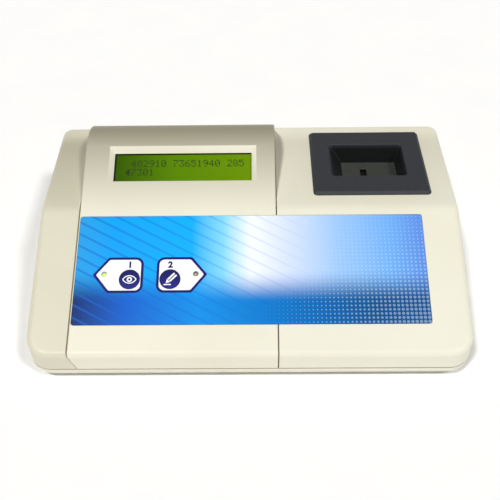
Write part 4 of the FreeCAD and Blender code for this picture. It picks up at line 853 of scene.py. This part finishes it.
# Display bezel and window: a black coated steel frame clips the cell to its board,
# and a clear acrylic sheet closes the opening in the cover from behind.
COATED = "#0B0B0C"
COATED_LIGHT = "#141416"
ACRYLIC = "#10140C"
coated = speckled("Black coated steel", COATED, COATED_LIGHT, 0.6 * MM, 0.4)
finished_copy("display_bezel", "display_frame", coated)


def clear_acrylic():
    """Polished acrylic sheet: nearly invisible, with a faint gloss and a trace of dust."""
    material, shader = new_material("Polished clear acrylic", IOR=1.49, Alpha=0.08,
                                    Base_Color=linear(ACRYLIC))
    place = add(material, "TexCoord").outputs["Object"]
    dust = add(material, "TexNoise", {"Vector": place, "Scale": 1 / (1.5 * MM), "Detail": 4.0})
    shine = add(material, "MapRange", {"Value": dust.outputs["Fac"], "From Min": 0.4, "From Max": 0.8,
                                       "To Min": 0.03, "To Max": 0.12})
    wire(material, shine.outputs["Result"], shader, "Roughness")
    return material


finished_copy("display_window", "display_lens", clear_acrylic())

# Rear connectors: a moulded power inlet with a nickel centre pin, and a nine-way serial port
# whose nickel shell is held by two hexagonal jackscrews.
finished_copy("power_inlet", "power_inlet_body", black_epoxy)
finished_copy("power_inlet_pin", "power_inlet_contact", nickel)
finished_copy("serial_port_shell", "serial_port_can", nickel)
finished_copy("serial_port_insert", "serial_port_block", black_epoxy)
finished_copy("serial_port_jackscrews", "serial_port_nuts", nickel)

# Power switch: a black nylon frame snapped into the rear wall, with a rocker on two moulded stubs.
# Both are moulded with a fine satin texture.
SWITCH_BLACK = "#161618"
SWITCH_LIGHT = "#202023"
switch_nylon = speckled("Moulded black nylon", SWITCH_BLACK, SWITCH_LIGHT, 0.7 * MM, 0.35)
finished_copy("power_switch_frame", "power_switch_surround", switch_nylon)
paddle = finished_copy("power_switch_rocker", "power_switch_paddle", switch_nylon, "power_rocker")

# Switch marks: a white ring and bar, pad printed on the rocker's two halves for off and on.
# They are the same thin white ink as the keys' pictograms, and tilt with the rocker.
MARK_RADIUS = 1.6
MARK_LINE = 0.5
MARK_BAR = 3.2
rocker_low, rocker_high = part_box("power_switch_rocker")


def rocker_face(upper):
    """Place of the upper or lower outer face of the rocker, with Z out of the face."""
    middle = (rocker_low.z + rocker_high.z) / 2
    faces = [face for face in nodes["power_switch_rocker"].data.polygons
             if face.normal.y > 0.9 and (face.center.z > middle) == upper]
    area = sum(face.area for face in faces)
    centre = sum((face.center * face.area for face in faces), Vector()) / area
    out = sum((face.normal * face.area for face in faces), Vector()).normalized()
    side = Vector((-1, 0, 0))
    return Matrix.Translation(centre) @ Matrix((side, out.cross(side), out)).transposed().to_4x4()


ring_plate("rocker_off_mark", circle((0, 0), MARK_RADIUS), MARK_LINE, "power_rocker", rocker_face(False))
wide = MARK_LINE / 2
tall = MARK_BAR / 2
bar = [(-wide, -tall), (wide, -tall), (wide, tall), (-wide, tall)]
piece = plate("rocker_on_mark", bar, 0, PICTOGRAM_LIFT, tag_ink)
lay(piece, "power_rocker", rocker_face(True))

# Floor and light: a plain pale laminate table under two broad distant lights from above and in front,
# the left one stronger than the right, in a surround that is pale at the horizon and dim overhead.
LEFT_LIGHT = (-0.3, -0.33, 0.86)
LEFT_STRENGTH = 1.95
RIGHT_LIGHT = (0.46, -0.33, 0.84)
RIGHT_STRENGTH = 1.15
LIGHT_SPREAD = 9
LIGHT_TINT = "#FFFEFA"
SKY_LOW = 0.1
SKY_HIGH = 0.6
SKY_PALE = 0.62
SKY_DIM = 0.1
FLOOR = "#FEFEFF"
FLOOR_SHADE = "#FCFCFE"
FLOOR_SIZE = 60
SURROUND = "#FFFFFF"
bpy.ops.object.select_all(action="DESELECT")
bpy.ops.mesh.primitive_plane_add(size=FLOOR_SIZE)
table = bpy.context.object
table.name = "pale_table"
table.data.materials.append(speckled("Pale matt laminate", FLOOR_SHADE, FLOOR, 40 * MM, 0.8))


def studio_light(name, toward, strength):
    """Broad distant light that comes from a direction and reaches the whole table evenly."""
    light = bpy.data.lights.new(name, "SUN")
    light.energy = strength
    light.angle = math.radians(LIGHT_SPREAD)
    light.color = linear(LIGHT_TINT)[:3]
    lamp = bpy.data.objects.new(name, light)
    lamp.rotation_euler = (-Vector(toward)).to_track_quat("-Z", "Y").to_euler()
    bpy.context.scene.collection.objects.link(lamp)


studio_light("left_key", LEFT_LIGHT, LEFT_STRENGTH)
studio_light("right_key", RIGHT_LIGHT, RIGHT_STRENGTH)
world = bpy.data.worlds.new("pale_surround")
bpy.context.scene.world = world
world.use_nodes = True
background = world.node_tree.nodes["Background"]
background.inputs["Color"].default_value = linear(SURROUND)
way = add(world, "TexCoord").outputs["Generated"]
height = add(world, "SeparateXYZ", {"Vector": way}).outputs["Z"]
sky = add(world, "MapRange", {"Value": height, "From Min": SKY_LOW, "From Max": SKY_HIGH,
                              "To Min": SKY_PALE, "To Max": SKY_DIM}, interpolation_type="SMOOTHSTEP")
wire(world, sky.outputs["Result"], background, "Strength")
bpy.context.scene.view_settings.view_transform = "Standard"

# Camera: above and in front of the console, looking down at it about as steeply as forward.
# Its place is counted in millimetres from the crease between the slope and the deck.
CAMERA_FROM_CREASE = (5.75, -332.99, 299.65)
CAMERA_PITCH = math.radians(45.274)
CAMERA_YAW = math.radians(-0.978)
CAMERA_ROLL = math.radians(-1.088)
CAMERA_LENS = 54.0
CAMERA_SENSOR = 36.0
ahead = math.cos(CAMERA_PITCH)
forward = Vector((math.sin(CAMERA_YAW) * ahead, math.cos(CAMERA_YAW) * ahead, -math.sin(CAMERA_PITCH)))
level = Vector((math.cos(CAMERA_YAW), -math.sin(CAMERA_YAW), 0))
upright = level.cross(forward)
right = level * math.cos(CAMERA_ROLL) + upright * math.sin(CAMERA_ROLL)
upward = upright * math.cos(CAMERA_ROLL) - level * math.sin(CAMERA_ROLL)
camera_data = bpy.data.cameras.new("viewer")
camera_data.lens = CAMERA_LENS
camera_data.sensor_width = CAMERA_SENSOR
camera = bpy.data.objects.new("viewer", camera_data)
turn = Matrix((right, upward, -forward)).transposed().to_4x4()
camera.matrix_world = Matrix.Translation(crease + Vector(CAMERA_FROM_CREASE) * MM) @ turn
bpy.context.scene.collection.objects.link(camera)
bpy.context.scene.camera = camera
